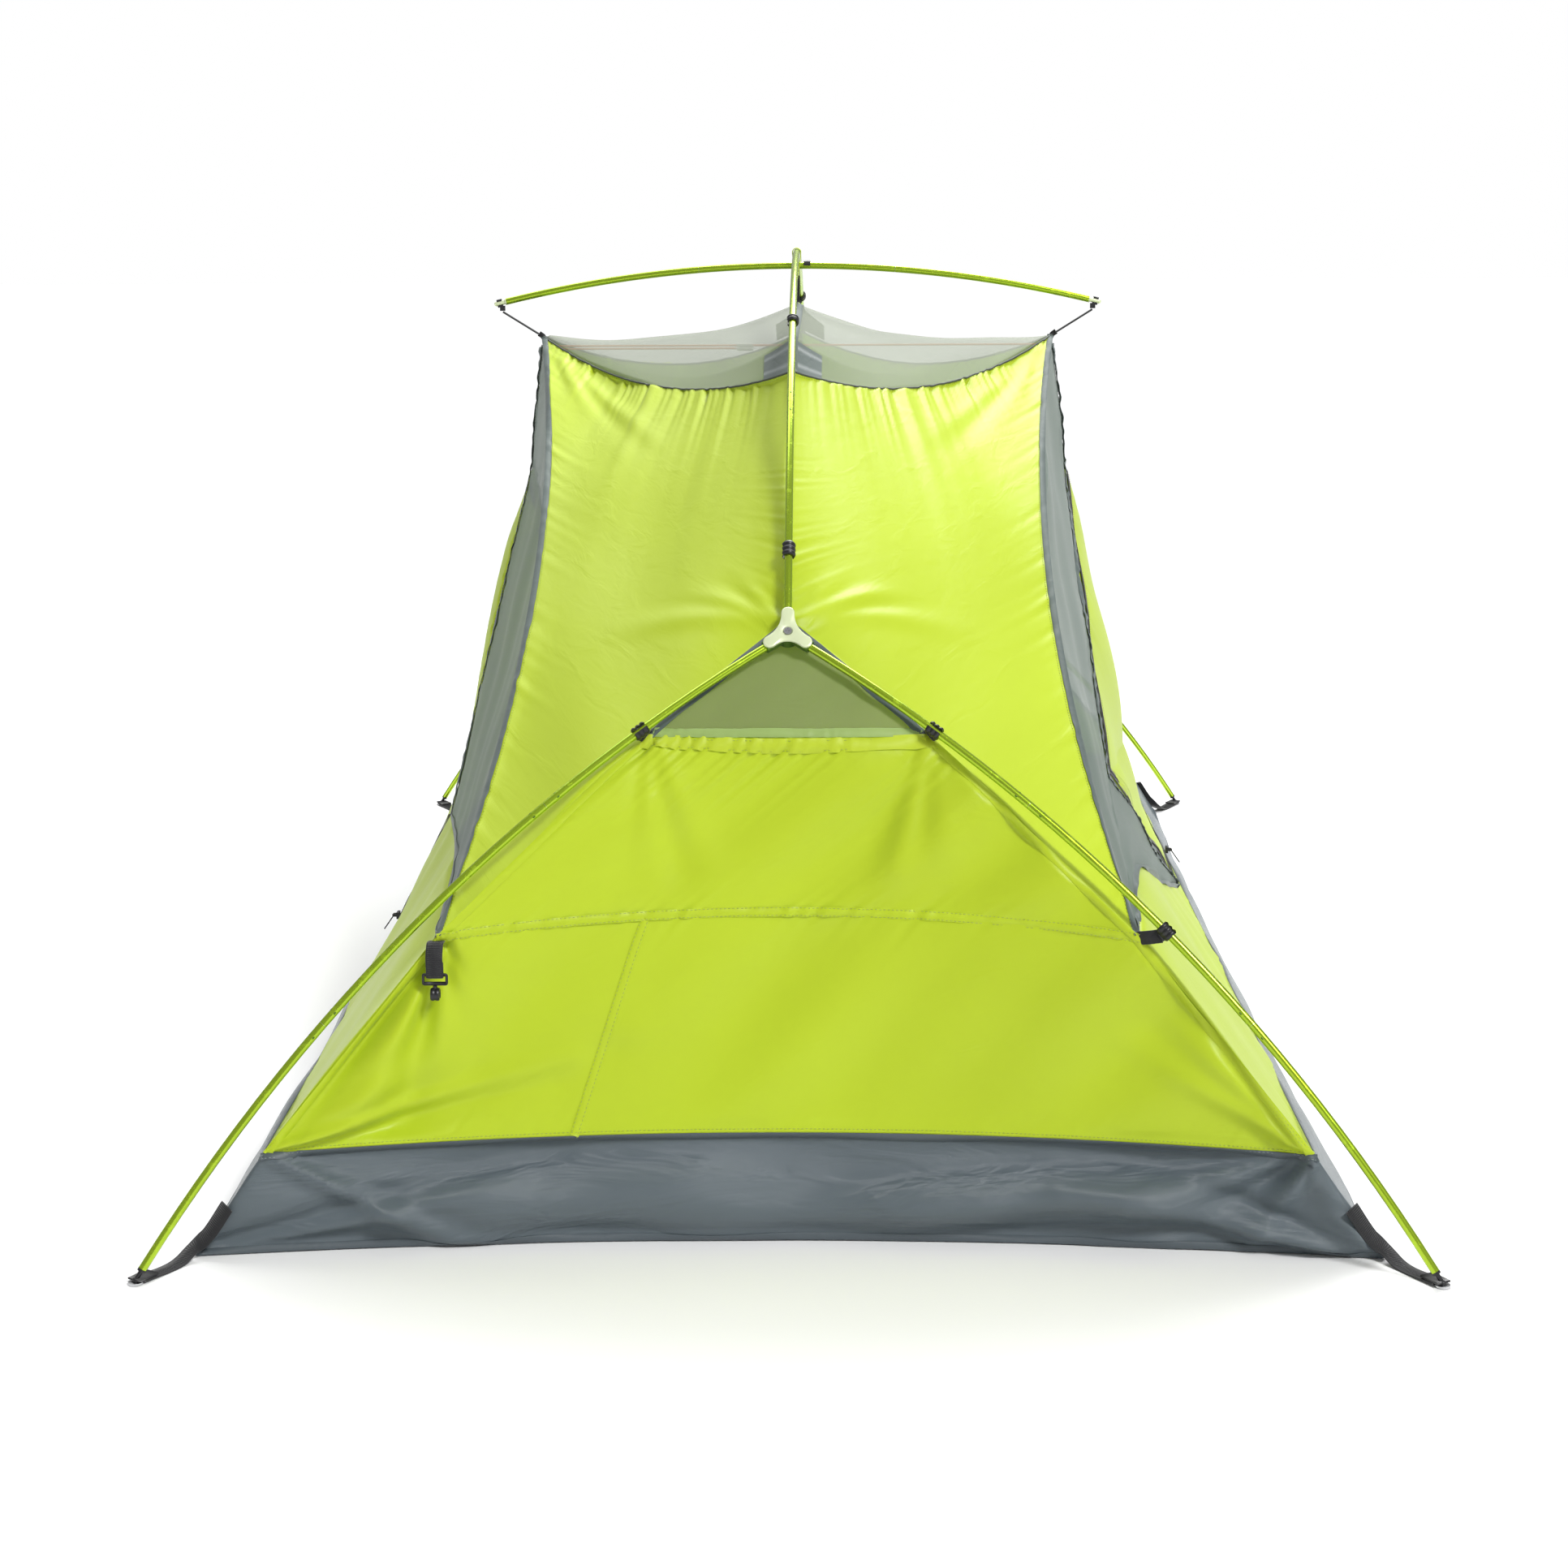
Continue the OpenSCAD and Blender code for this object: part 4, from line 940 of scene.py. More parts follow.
def finish(name):
    """The named finish, made when it is first asked for."""
    if name in FINISHES:
        return FINISHES[name]
    looks = bpy.context.scene.tent_looks
    lime, slate, net, black = (tuple(x) for x in (looks.lime, looks.slate, looks.netting, looks.black))
    pole = tuple(looks.pole)
    makers = {
        "lime": lambda: cloth_finish(
            "Lime ripstop", lime, scaled(lime, 0.9), 0.30, 0.42, 26.0, 0.0016, 0.30, crease=0.35
        ),
        "hem": lambda: cloth_finish(
            "Lime hem", scaled(lime, 0.86), scaled(lime, 0.78), 0.12, 0.5, 50.0, 0.001, 0.3
        ),
        "pale_hem": lambda: cloth_finish(
            "Pale hem tape", (0.50, 0.66, 0.22), (0.42, 0.58, 0.18), 0.35, 0.5, 60.0, 0.001, 0.3
        ),
        "slate": lambda: cloth_finish(
            "Slate floor cloth", slate, scaled(slate, 0.86), 0.05, 0.30, 26.0, 0.006, 0.7,
            sheen=0.0, stretch=0.3,
        ),
        "tape": lambda: cloth_finish(
            "Grey binding", (0.085, 0.115, 0.105), (0.06, 0.085, 0.08), 0.0, 0.62, 70.0, 0.0008, 0.4,
            sheen=0.2, threads=260.0,
        ),
        "piping": lambda: cloth_finish(
            "Dark piping", (0.06, 0.075, 0.06), (0.04, 0.05, 0.045), 0.0, 0.6, 90.0, 0.0006, 0.3,
            sheen=0.2, threads=300.0,
        ),
        "webbing": lambda: cloth_finish(
            "Black webbing", scaled(black, 1.2), black, 0.0, 0.7, 60.0, 0.0010, 0.5,
            sheen=0.3, crease=0.3, threads=150.0,
        ),
        "slate_tape": lambda: cloth_finish(
            "Slate binding", scaled(slate, 0.72), scaled(slate, 0.6), 0.0, 0.5, 60.0, 0.001, 0.4, 0.1
        ),
        "end_net": lambda: net_finish("End netting", (0.52, 0.60, 0.26), (0.60, 0.68, 0.32), 0.20, 0.44),
        "roof_net": lambda: net_finish("Roof netting", scaled(net, 0.80), scaled(net, 0.95), 0.50, 0.70),
        # Side netting: its dark colour and nearly shut cover are painted shade, standing in for the unlit
        # inside of the tent seen through it
        "side_net_painted_shade": lambda: net_finish("Side netting", (0.10, 0.145, 0.12), (0.13, 0.18, 0.15), 0.66, 0.88),
        "pole": lambda: hard_finish(
            "Green anodised alloy", pole, scaled(pole, 1.5), 0.24, 0.85, bump=0.05, coat=0.3
        ),
        "bare": lambda: hard_finish(
            "Bare alloy", (0.62, 0.63, 0.64), (0.4, 0.4, 0.41), 0.28, 1.0, bump=0.05
        ),
        "screw": lambda: hard_finish(
            "Plated screw", (0.55, 0.55, 0.56), (0.3, 0.3, 0.31), 0.25, 1.0, bump=0.05
        ),
        "hub": lambda: hard_finish(
            "Dark green hub", (0.10, 0.20, 0.02), (0.2, 0.32, 0.06), 0.32, 0.6, coat=0.2
        ),
        "cap": lambda: hard_finish(
            "Pale hub plate", (0.74, 0.82, 0.52), (0.85, 0.9, 0.72), 0.3, 0.25, bump=0.08
        ),
        "plastic": lambda: hard_finish("Black plastic", black, scaled(black, 2.6), 0.36, 0.0, bump=0.25),
        "clear": lambda: hard_finish(
            "Clear plastic", (0.72, 0.72, 0.68), (0.8, 0.8, 0.78), 0.25, 0.0, coat=0.4
        ),
        "line": lambda: braid_finish("Orange line", tuple(looks.line), scaled(looks.line, 0.6), 0.0022),
        "elastic": lambda: braid_finish("Black elastic", black, scaled(black, 3.5), 0.0014),
        "lime_thread": lambda: braid_finish("Lime thread", (0.44, 0.54, 0.07), (0.30, 0.40, 0.03), 0.001),
        "grey_thread": lambda: braid_finish("Grey thread", (0.26, 0.30, 0.30), (0.16, 0.19, 0.19), 0.001),
        "zip": lambda: hard_finish(
            "Black zip teeth", scaled(black, 1.4), scaled(black, 3.0), 0.3, 0.0, bump=0.1
        ),
    }
    FINISHES[name] = makers[name]()
    return FINISHES[name]


# ---- sizes and colours ----


def colour_property(name, description, value):
    return bpy.props.FloatVectorProperty(
        name=name, description=description, subtype="COLOR", size=3, min=0, max=1, default=value
    )


def size_property(name, description, value, low, high):
    return bpy.props.FloatProperty(
        name=name, description=description, default=value, min=low, max=high,
        subtype="DISTANCE", unit="LENGTH",
    )


class TentLooks(bpy.types.PropertyGroup):
    """Colours of the finishes"""

    lime: colour_property("Lime cloth", "Colour of the walls, wings and doors", (0.66, 0.82, 0.030))
    slate: colour_property("Floor cloth", "Colour of the floor and its bathtub wall", (0.125, 0.155, 0.175))
    netting: colour_property("Netting", "Colour of the netting's threads", (0.30, 0.34, 0.25))
    black: colour_property("Black parts", "Colour of webbing, clips and zips", (0.012, 0.012, 0.014))
    pole: colour_property("Poles", "Colour of the anodised poles", (0.40, 0.58, 0.025))
    line: colour_property("Line", "Colour of the line across the cabin", (0.85, 0.22, 0.03))


class TentSizes(bpy.types.PropertyGroup):
    """Sizes of the cloth and what is sewn on it"""

    cloth: size_property("Cloth thickness", "Thickness of the woven cloth", 0.0005, 0.0002, 0.002)
    stitch_pitch: size_property("Stitch pitch", "Distance from stitch to stitch", 0.0046, 0.003, 0.01)
    stitch: size_property("Stitch length", "Length of one stitch", 0.0034, 0.002, 0.006)
    thread: size_property("Thread thickness", "Thickness of the sewing thread", 0.0009, 0.0004, 0.002)
    binding: size_property("Binding width", "Width of the tape sewn over the seams", 0.009, 0.005, 0.02)
    tooth_pitch: size_property("Zip pitch", "Distance from tooth to tooth on a zip", 0.0026, 0.0015, 0.004)
    webbing: size_property("Webbing width", "Width of the corner webbing", 0.020, 0.012, 0.026)


PANELS, STITCHES = {}, {}


def stitch(panel, edge, inset, body="tent", thread="lime_thread", span=(0, 1)):
    """Notes a row of stitches for the stitching operator."""
    path, ups = panel.line(edge, inset, lift=0.0007, span=span)
    STITCHES.setdefault((body, thread), []).append((path, ups))


def tape(shape, panel, edge, inset, width, thick=0.0007, lift=0.0005, span=(0, 1), ruffle=0.0, seed=0):
    """Sews a tape on the outside of a panel, along one of its edges."""
    path, ups = panel.line(edge, inset, lift=lift + thick / 2, span=span)
    if ruffle:
        run = np.concatenate([[0], np.cumsum(np.linalg.norm(np.diff(path, axis=0), axis=1))])
        path = path + ups * col(ruffle * (1 + ripple(run, 0.022, seed)) / 2)
        _, side, _ = path_frames(path, ups)
        path = path + side * col(ruffle * ripple(run, 0.05, seed + 3))
    return swept(shape, path, ups, flat_profile(width, thick))


def sheet_piece(name, panels, body, slot, finish_name, thickness, nodes):
    shape = Shape()
    for panel in panels:
        cloth(panel, shape)
    obj = shape.piece(name, body, slot, finish(finish_name))
    if thickness:
        thicken(obj, thickness)
    if nodes:
        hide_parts(*nodes)
    return obj


# ---- stage ----


def soft_light(name, place, aim, size, power, colour=(1, 1, 1)):
    data = bpy.data.lights.new(name, "AREA")
    data.shape, data.size, data.size_y = "RECTANGLE", size[0], size[1]
    data.energy, data.color = power, colour
    light = bpy.data.objects.new(name, data)
    bpy.context.scene.collection.objects.link(light)
    back = np.array(place, float) - np.array(aim, float)
    z = back / np.linalg.norm(back)
    x = np.cross((0, 0, 1), z)
    x /= np.linalg.norm(x)
    y = np.cross(z, x)
    light.matrix_world = Matrix([[*row] for row in np.column_stack([x, y, z, place])] + [[0, 0, 0, 1]])
    return light


def far_light(name, toward, strength, spread):
    """A wide even light from a far place in the given direction."""
    data = bpy.data.lights.new(name, "SUN")
    data.energy, data.angle = strength, math.radians(spread)
    light = bpy.data.objects.new(name, data)
    bpy.context.scene.collection.objects.link(light)
    z = np.array(toward, float) / np.linalg.norm(toward)
    x = np.cross((0, 0, 1), z)
    x /= np.linalg.norm(x)
    columns = np.column_stack([x, np.cross(z, x), z, 3 * z])
    light.matrix_world = Matrix([[*row] for row in columns] + [[0, 0, 0, 1]])
    return light


class TENT_OT_stage(bpy.types.Operator):
    """Sets up the camera, the pale floor and soft studio light"""

    bl_idname = "tent.stage"
    bl_label = "Stage"

    def execute(self, context):
        scene = context.scene
        data = bpy.data.cameras.new("Camera")
        data.sensor_width, data.lens = 36, 62.71
        data.clip_start, data.clip_end = 0.05, 200
        camera = bpy.data.objects.new("Camera", data)
        scene.collection.objects.link(camera)
        yaw, pitch, roll = -0.0194, 0.2148, -0.0054
        forward = p3(math.sin(yaw) * math.cos(pitch), math.cos(yaw) * math.cos(pitch), -math.sin(pitch))
        right = p3(math.cos(yaw), -math.sin(yaw), 0)
        up = np.cross(right, forward)
        across = math.cos(roll) * right + math.sin(roll) * up
        upward = -math.sin(roll) * right + math.cos(roll) * up
        place = (0.0524, -3.8081, 1.1167)
        columns = np.column_stack([across, upward, -forward, place])
        camera.matrix_world = Matrix([[*row] for row in columns] + [[0, 0, 0, 1]])
        scene.camera = camera

        shape = Shape()
        half = 30.0
        shape.add([(-half, -half, 0), (half, -half, 0), (half, half, 0), (-half, half, 0)], [[0, 1, 2, 3]])
        mesh = bpy.data.meshes.new("studio_floor")
        mesh.from_pydata(shape.verts[0].tolist(), [], shape.faces)
        floor = bpy.data.objects.new("studio_floor", mesh)
        scene.collection.objects.link(floor)
        floor.location = (0, 0, -0.0006)
        material, w, shader, _ = finish_base("Pale studio floor")
        where = w.node("ShaderNodeTexCoord")
        noise = w.node("ShaderNodeTexNoise", Scale=2.0)
        w.join(where.outputs["Object"], noise.inputs["Vector"])
        tone = w.mix(noise.outputs["Fac"], (0.90, 0.90, 0.90), (0.93, 0.93, 0.93))
        w.join(tone, shader.inputs["Base Color"])
        shader.inputs["Roughness"].default_value = 0.9
        shader.inputs["Specular IOR Level"].default_value = 0.1
        mesh.materials.append(material)

        world = bpy.data.worlds.new("Studio")
        scene.world = world
        world.use_nodes = True
        w = Wires(world.node_tree)
        w.nodes.clear()
        room, paper = (w.node("ShaderNodeBackground", Strength=light) for light in (0.38, 1.0))
        seen, both = w.node("ShaderNodeLightPath"), w.node("ShaderNodeMixShader")
        out = w.node("ShaderNodeOutputWorld")
        w.join(seen.outputs["Is Camera Ray"], both.inputs[0])
        w.join(room.outputs[0], both.inputs[1])
        w.join(paper.outputs[0], both.inputs[2])
        w.join(both.outputs[0], out.inputs["Surface"])
        for node in (room, paper):
            node.inputs["Color"].default_value = (1, 1, 1, 1)
        far_light("Daylight", (0.48, -0.60, 0.75), 2.35, 12)
        far_light("Sky glow", (-0.25, 0.55, 0.80), 1.0, 40)
        soft_light("Overhead", (0.45, 1.1, 2.5), (0, -0.3, 0.6), (1.3, 1.3), 62)
        scene.view_settings.view_transform = "Standard"
        return {"FINISHED"}


# ---- poles and hubs ----

CAD_FINISHES = {
    "pole": "leg_pole_front_left leg_pole_front_right leg_pole_rear_left leg_pole_rear_right "
    "ridge_pole_1 ridge_pole_2 ridge_pole_3 ridge_pole_4 ridge_pole_5 "
    "cross_pole_left cross_pole_centre cross_pole_right",
    "bare": "leg_ferrules ridge_ferrules cross_pole_ferrules foot_grommets",
    "elastic": "leg_shock_cords ridge_shock_cord cross_pole_shock_cord corner_elastics",
    "hub": "hub_front hub_rear",
    "screw": "hub_screws",
    "plastic": "pole_feet corner_hooks crossing_clip "
    "zip_slider_left zip_slider_right zip_pull_left zip_pull_right",
    "cap": "cross_pole_tips",
    "line": "drying_line",
    "clear": "line_lock",
}


class TENT_OT_hard_parts(bpy.types.Operator):
    """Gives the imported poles, hubs and fittings their finishes"""

    bl_idname = "tent.hard_parts"
    bl_label = "Poles and hard parts"

    def execute(self, context):
        for name, nodes in CAD_FINISHES.items():
            for node in nodes.split():
                data = NODES[node].data
                data.materials.clear()
                data.materials.append(finish(name))
        return {"FINISHED"}


class TENT_OT_pole_crimps(bpy.types.Operator):
    """Presses the crimps that hold the ferrules into the pole sections"""

    bl_idname = "tent.pole_crimps"
    bl_label = "Pole crimps"

    def execute(self, context):
        paths = []
        half = 0.0004

        def crimp(place, along, out):
            place = place + out * (POLE_R - 0.0001)
            paths.append((np.array([place - along * half, place + along * half]), out))

        for x in (-1, 1):
            for y in (1, -1):
                turn = p3(x, y, 1)
                for joint in (1 / 3, 2 / 3):
                    for off in (-0.017, 0.017):
                        f = joint + off / (2 * LEG_R * LEG_A)
                        d = leg_dir(f)
                        for out in (LEG_D, np.cross(d, LEG_D), -np.cross(d, LEG_D)):
                            crimp(leg_point(f) * turn, d * turn, out * turn)
        for k in range(4):
            joint = RIDGE_END + k * (RIDGE_LEN - 2 * RIDGE_END) / 3
            for off in (-0.017, 0.017):
                a, b = ridge_point(joint + off), ridge_point(joint + off + 0.001)
                d = (b - a) / np.linalg.norm(b - a)
                up = np.cross(p3(1, 0, 0), d)
                for out in (up, p3(1, 0, 0), p3(-1, 0, 0)):
                    crimp(a, d, out)
        beads("pole_crimps", "tent", paths, 0.01, (0.0032, 0.0022, 0.0006), finish("hub"))
        return {"FINISHED"}


def hub_outline(dirs, arm, radius, end):
    """The outline of a three-armed plate, with hollows between its arms."""
    angles = sorted(math.atan2(d[1], d[0]) for d in dirs)
    points = []
    for k, a in enumerate(angles):
        x, y = np.array([math.cos(a), math.sin(a)]), np.array([-math.sin(a), math.cos(a)])
        centre = (arm - end) * x
        for b in np.linspace(-90, 90, 13):
            points.append(centre + end * (math.cos(math.radians(b)) * x + math.sin(math.radians(b)) * y))
        nxt = angles[(k + 1) % len(angles)] + (2 * np.pi if k + 1 == len(angles) else 0)
        mid = (a + nxt) / 2
        start = centre + end * y
        x2, y2 = np.array([math.cos(nxt), math.sin(nxt)]), np.array([-math.sin(nxt), math.cos(nxt)])
        finish_at = (arm - end) * x2 - end * y2
        hollow = 2 * radius * np.array([math.cos(mid), math.sin(mid)]) - (start + finish_at) / 2
        for t in np.linspace(0, 1, 12)[1:-1]:
            points.append((1 - t) ** 2 * start + 2 * t * (1 - t) * hollow + t * t * finish_at)
    return np.array(points)


class TENT_OT_hub_plates(bpy.types.Operator):
    """Puts the pale three-armed plates on the hubs"""

    bl_idname = "tent.hub_plates"
    bl_label = "Hub plates"

    def execute(self, context):
        core, plate, recess = 0.014, 0.002, 0.0054
        for y, name in ((1, "front"), (-1, "rear")):
            turn = p3(1, y, 1)
            ridge = p3(0, math.cos(RIDGE_A), math.sin(RIDGE_A))
            normal = np.cross(p3(1, 0, 0), ridge)
            flat = np.column_stack([p3(1, 0, 0), ridge])
            dirs = [d @ flat for d in (ridge, leg_dir(0), leg_dir(0) * p3(-1, 1, 1))]
            outline = hub_outline(dirs, 0.031, 0.0125, 0.0072)
            polar = np.arctan2(outline[:, 1], outline[:, 0])
            hole = np.stack([np.cos(polar), np.sin(polar)], 1)
            low, high = core / 2 - plate - 0.0003, core / 2 + 0.0006
            rings = [
                (outline * 0.985, low),
                (outline, low + 0.0004),
                (outline, high - 0.0007),
                (outline * 0.975, high - 0.0002),
                (outline * 0.94, high),
                (hole * (recess + 0.0010), high),
                (hole * recess, high - 0.0003),
                (hole * (recess - 0.0002), high - 0.0016),
                (hole * 0.0004, high - 0.0017),
            ]
            grid = np.array([HUB_TOP + ring @ flat.T + z * normal for ring, z in rings])
            faces = grid_faces(*grid.shape[:2], flip=y < 0, closed=True)
            m = grid.shape[1]
            ends = [list(range(m)), [(len(rings) - 1) * m + j for j in reversed(range(m))]]
            faces += [e[::-1] for e in ends] if y > 0 else ends
            obj = Shape().add(grid * turn, faces).piece(
                f"hub_plate_{name}", "tent", "hub_cap", finish("cap"), smooth=True
            )
            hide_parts(f"hub_cap_{name}")
        return {"FINISHED"}


# ---- floor ----


class TENT_OT_floor(bpy.types.Operator):
    """Sews the floor and the bathtub wall round it"""

    bl_idname = "tent.floor"
    bl_label = "Floor and bathtub"

    def execute(self, context):
        sizes = context.scene.tent_sizes

        def lying(points, s, t, u, v):
            lift = 0.0015 * np.abs(waves(s, t, 0.22, 3))
            return lift * np.clip(1.4 - 1.4 * np.maximum(np.abs(u), np.abs(v)), 0, 1)

        ground = Panel(floor_at, (140, 220), u=(-1, 1), v=(-1, 1), folds=lying)
        sheet_piece(
            "tent_floor", [ground], "tent", "floor_cloth", "slate", sizes.cloth, ["floor"]
        )
        panels = {}
        for y, end in ((1, "front"), (-1, "rear")):
            def bend(points, s, t, u, v, seed=11 if y > 0 else 23):
                corner = np.exp(-(1 - np.abs(u)) * FLOOR_X / 0.12)
                out = 0.0062 * waves(s * 0.5, t * 2.2, 0.16, seed)
                out += gather(s, t.max() - t, 0.014, 0.0022, 0.018, seed + 2) * (0.15 + corner)
                for x in (-1, 1):
                    top, low = TUB_TOP * p3(x, 1, 1), p3(x * FLOOR_X, -FLOOR_Y, 0)
                    for start, aim, spread, height, count, first in (
                        (top, p3(x * 0.40, -1.03, 0.04), p3(0.16, 0, -0.10), 0.018, 4, 4),
                        (low, p3(x * 0.30, -1.03, 0.07), p3(0.10, 0, 0.08), 0.016, 3, 8),
                    ):
                        out += drape(points, start, aim, spread, height, count, seed + first + x)
                return out + 0.011 * np.sin(2 * np.pi * (v - 0.12)) * (1 - u**4) * np.clip(v * 5, 0, 1)

            panels[end] = Panel(tub_end_at, (240, 26), u=(-1, 1), turn=(1, y, 1), folds=bend, hold=0.008)
        for x, side in ((1, "right"), (-1, "left")):
            def bend_side(points, s, t, u, v, seed=37 if x > 0 else 41):
                corner = np.exp(-(1 - np.abs(u)) * FLOOR_Y / 0.14)
                return 0.0030 * waves(s * 0.5, t * 2.0, 0.18, seed) + (
                    gather(s, t.max() - t, 0.018, 0.0016, 0.02, seed + 2) * (0.3 + corner)
                )

            panels[side] = Panel(
                tub_side_at, (300, 26), u=(-1, 1), turn=(x, x, 1), folds=bend_side, hold=0.008
            )
        obj = sheet_piece(
            "bathtub", list(panels.values()), "tent", "floor_cloth", "slate", sizes.cloth, ["bathtub_wall"],
        )
        obj.modifiers[0].offset = 0
        shape = Shape()
        for key, panel in panels.items():
            PANELS["tub_" + key] = panel
            tape(shape, panel, "v1", 0.0045, sizes.binding, seed=5)
            for inset in (0.0018, 0.0072):
                stitch(panel, "v1", inset, thread="grey_thread")
            tape(shape, panel, "v0", 0.004, 0.008)
        shape.piece("bathtub_binding", "tent", "floor_cloth", finish("slate_tape"))
        return {"FINISHED"}


# ---- ends ----


def end_folds(front):
    left = LOWER * p3(-1, 1, 1)
    low_left = TUB_TOP * p3(-1, 1, 1)

    def folds(points, s, t, u, v):
        high = np.clip((v - BELT_T) / (1 - BELT_T), 0, 1)
        low = np.clip(v / BELT_T, 0, 1)
        total = np.maximum(t[:, -1:], 1e-6)
        out = gather(s, total - t, 0.021, 0.0040, 0.045, 3 if front else 14) * (v > 0.3)
        out += 0.0085 * waves(s, t * 0.18, 0.13, 7 if front else 9) * np.sin(np.pi * high) ** 0.6
        out += 0.0070 * waves(s, t * 0.35, 0.16, 19 if front else 29) * np.sin(np.pi * low) ** 0.7
        out += gather(s, np.abs(v - BELT_T) * total, 0.026, 0.0018, 0.02, 50)
        out += gather(s, t, 0.017, 0.0022, 0.03, 61) * (0.25 + np.abs(u) ** 4)
        if front:
            # Slack at the corner whose clip is off its pole
            start = left + p3(0.004, 0, -0.012)
            out += drape(points, start, low_left + p3(0.20, 0, 0.015), p3(0.34, 0, 0), 0.034, 7, 5)
            out += drape(points, low_left, left + p3(0.16, 0, -0.13), p3(0.10, 0, 0.05), 0.020, 4, 6)
        for x in (-1, 1):
            corner, top = TUB_TOP * p3(x, 1, 1), LOWER * p3(x, 1, 1)
            aim = lerp(corner, lerp(top, p3(0, top[1], 0.34), 0.25), 0.55)
            out += drape(points, corner, aim, p3(-0.10 * x, 0, -0.02), 0.011, 4, 20 + x)
            clip, aim = UPPER * p3(x, 1, 1), p3(x * 0.13, -0.94, 0.40)
            out += drape(points, clip, aim, p3(0.09, 0, 0), 0.009, 4, 30 + x)
        return out

    return folds


def inner_seam(shape, path, ups, width, stitch_off):
    """A taped seam across the middle of a panel, with a row of stitches at each side."""
    swept(shape, path + ups * 0.0005, ups, flat_profile(width, 0.0007))
    _, side, _ = path_frames(path, ups)
    for off in (-stitch_off, stitch_off):
        STITCHES.setdefault(("tent", "lime_thread"), []).append((path + ups * 0.0010 + side * off, ups))


class TENT_OT_end_walls(bpy.types.Operator):
    """Sews the two lime end walls, with their belt seam, hem and corner seams"""

    bl_idname = "tent.end_walls"
    bl_label = "End walls"

    def execute(self, context):
        sizes = context.scene.tent_sizes
        for y, end in ((1, "front"), (-1, "rear")):
            panel = Panel(end_at, (280, 170), u=(-1, 1), turn=(1, y, 1), folds=end_folds(y > 0), hold=0.018)
            PANELS["end_" + end] = panel
            sheet_piece(
                f"end_wall_{end}_cloth", [panel], "tent", "lime_cloth", "lime", sizes.cloth,
                [f"end_wall_{end}"],
            )
            seams = Shape()
            n = panel.points.shape[1] - 1
            belt = int(round(BELT_T * n))
            inner_seam(seams, panel.points[:, belt], panel.normals[:, belt], 0.011, 0.0042)
            for edge in ("u0", "u1"):
                tape(seams, panel, edge, 0.0045, 0.009)
                stitch(panel, edge, 0.0022)
                stitch(panel, edge, 0.0068)
            stitch(panel, "v0", 0.004)
            if y > 0:
                column = int(0.295 * (panel.points.shape[0] - 1))
                inner_seam(seams, panel.points[column, :belt], panel.normals[column, :belt], 0.010, 0.0036)
            seams.piece(f"end_wall_{end}_seams", "tent", "lime_cloth", finish("lime"))
            hem = Shape()
            tape(hem, panel, "v1", 0.009, 0.017, thick=0.0008)
            hem.piece(f"end_wall_{end}_hem", "tent", "lime_cloth", finish("hem"))
            stitch(panel, "v1", 0.0035)
            stitch(panel, "v1", 0.0150)
        return {"FINISHED"}


class TENT_OT_end_nets(bpy.types.Operator):
    """Sews the netting triangles under the hubs, with their bindings"""

    bl_idname = "tent.end_nets"
    bl_label = "End netting"

    def execute(self, context):
        for y, end in ((1, "front"), (-1, "rear")):
            def folds(points, s, t, u, v, seed=81 + y):
                return 0.0012 * waves(s, t, 0.09, seed) + gather(s, t, 0.014, 0.0008, 0.02, seed)

            panel = Panel(end_mesh_at, (120, 60), u=(-1, 1), v=(0, 0.985), turn=(1, y, 1), folds=folds)
            PANELS["end_net_" + end] = panel
            sheet_piece(
                f"end_net_{end}", [panel], "tent", "grey_mesh", "end_net", 0,
                [f"end_mesh_{end}"],
            )
            binding, band = Shape(), Shape()
            for edge in ("u0", "u1"):
                tape(binding, panel, edge, 0.004, 0.009, thick=0.0009)
                stitch(panel, edge, 0.0065, thread="grey_thread")
            tape(band, panel, "v0", 0.0055, 0.011, thick=0.0006)
            binding.piece(f"end_net_{end}_binding", "tent", "grey_mesh", finish("tape"))
            band.piece(f"end_net_{end}_band", "tent", "lime_cloth", finish("pale_hem"))
        return {"FINISHED"}


# ---- wings and roof ----


def wing_folds(seed):
    def folds(points, s, t, u, v):
        wide = s[-1:, :]
        middle = np.sin(np.pi * u) ** 0.8
        out = gather(s, t, 0.019, 0.0052, 0.050, seed) * (0.25 + middle)
        out += gather(s, t, 0.055, 0.0050, 0.14, seed + 1) * middle
        out += gather(t, s, 0.018, 0.0026, 0.035, seed + 2) * np.clip(v * 1.4 - 0.35, 0, 1)
        out += gather(t, wide - s, 0.034, 0.0016, 0.03, seed + 4)
        out += 0.0050 * waves(s, t * 0.45, 0.26, seed + 6)
        for start, aim, spread, height, count, first in (
            (HUB_CLOTH + p3(0.006, 0, 0), p3(0.15, -0.70, 0.70), p3(0.10, 0, -0.14), 0.006, 6, 0),
            (TOP - p3(0.01, 0, 0.02), lerp(TOP, HUB_CLOTH, 0.45), p3(0.14, 0, 0.04), 0.006, 5, 8),
            (LOWER, lerp(LOWER, TOP, 0.4) - p3(0.10, 0, 0), p3(0.10, 0, 0.05), 0.005, 4, 9),
        ):
            out += drape(points, start, aim, spread, height, count, seed + first)
        return out

    return folds


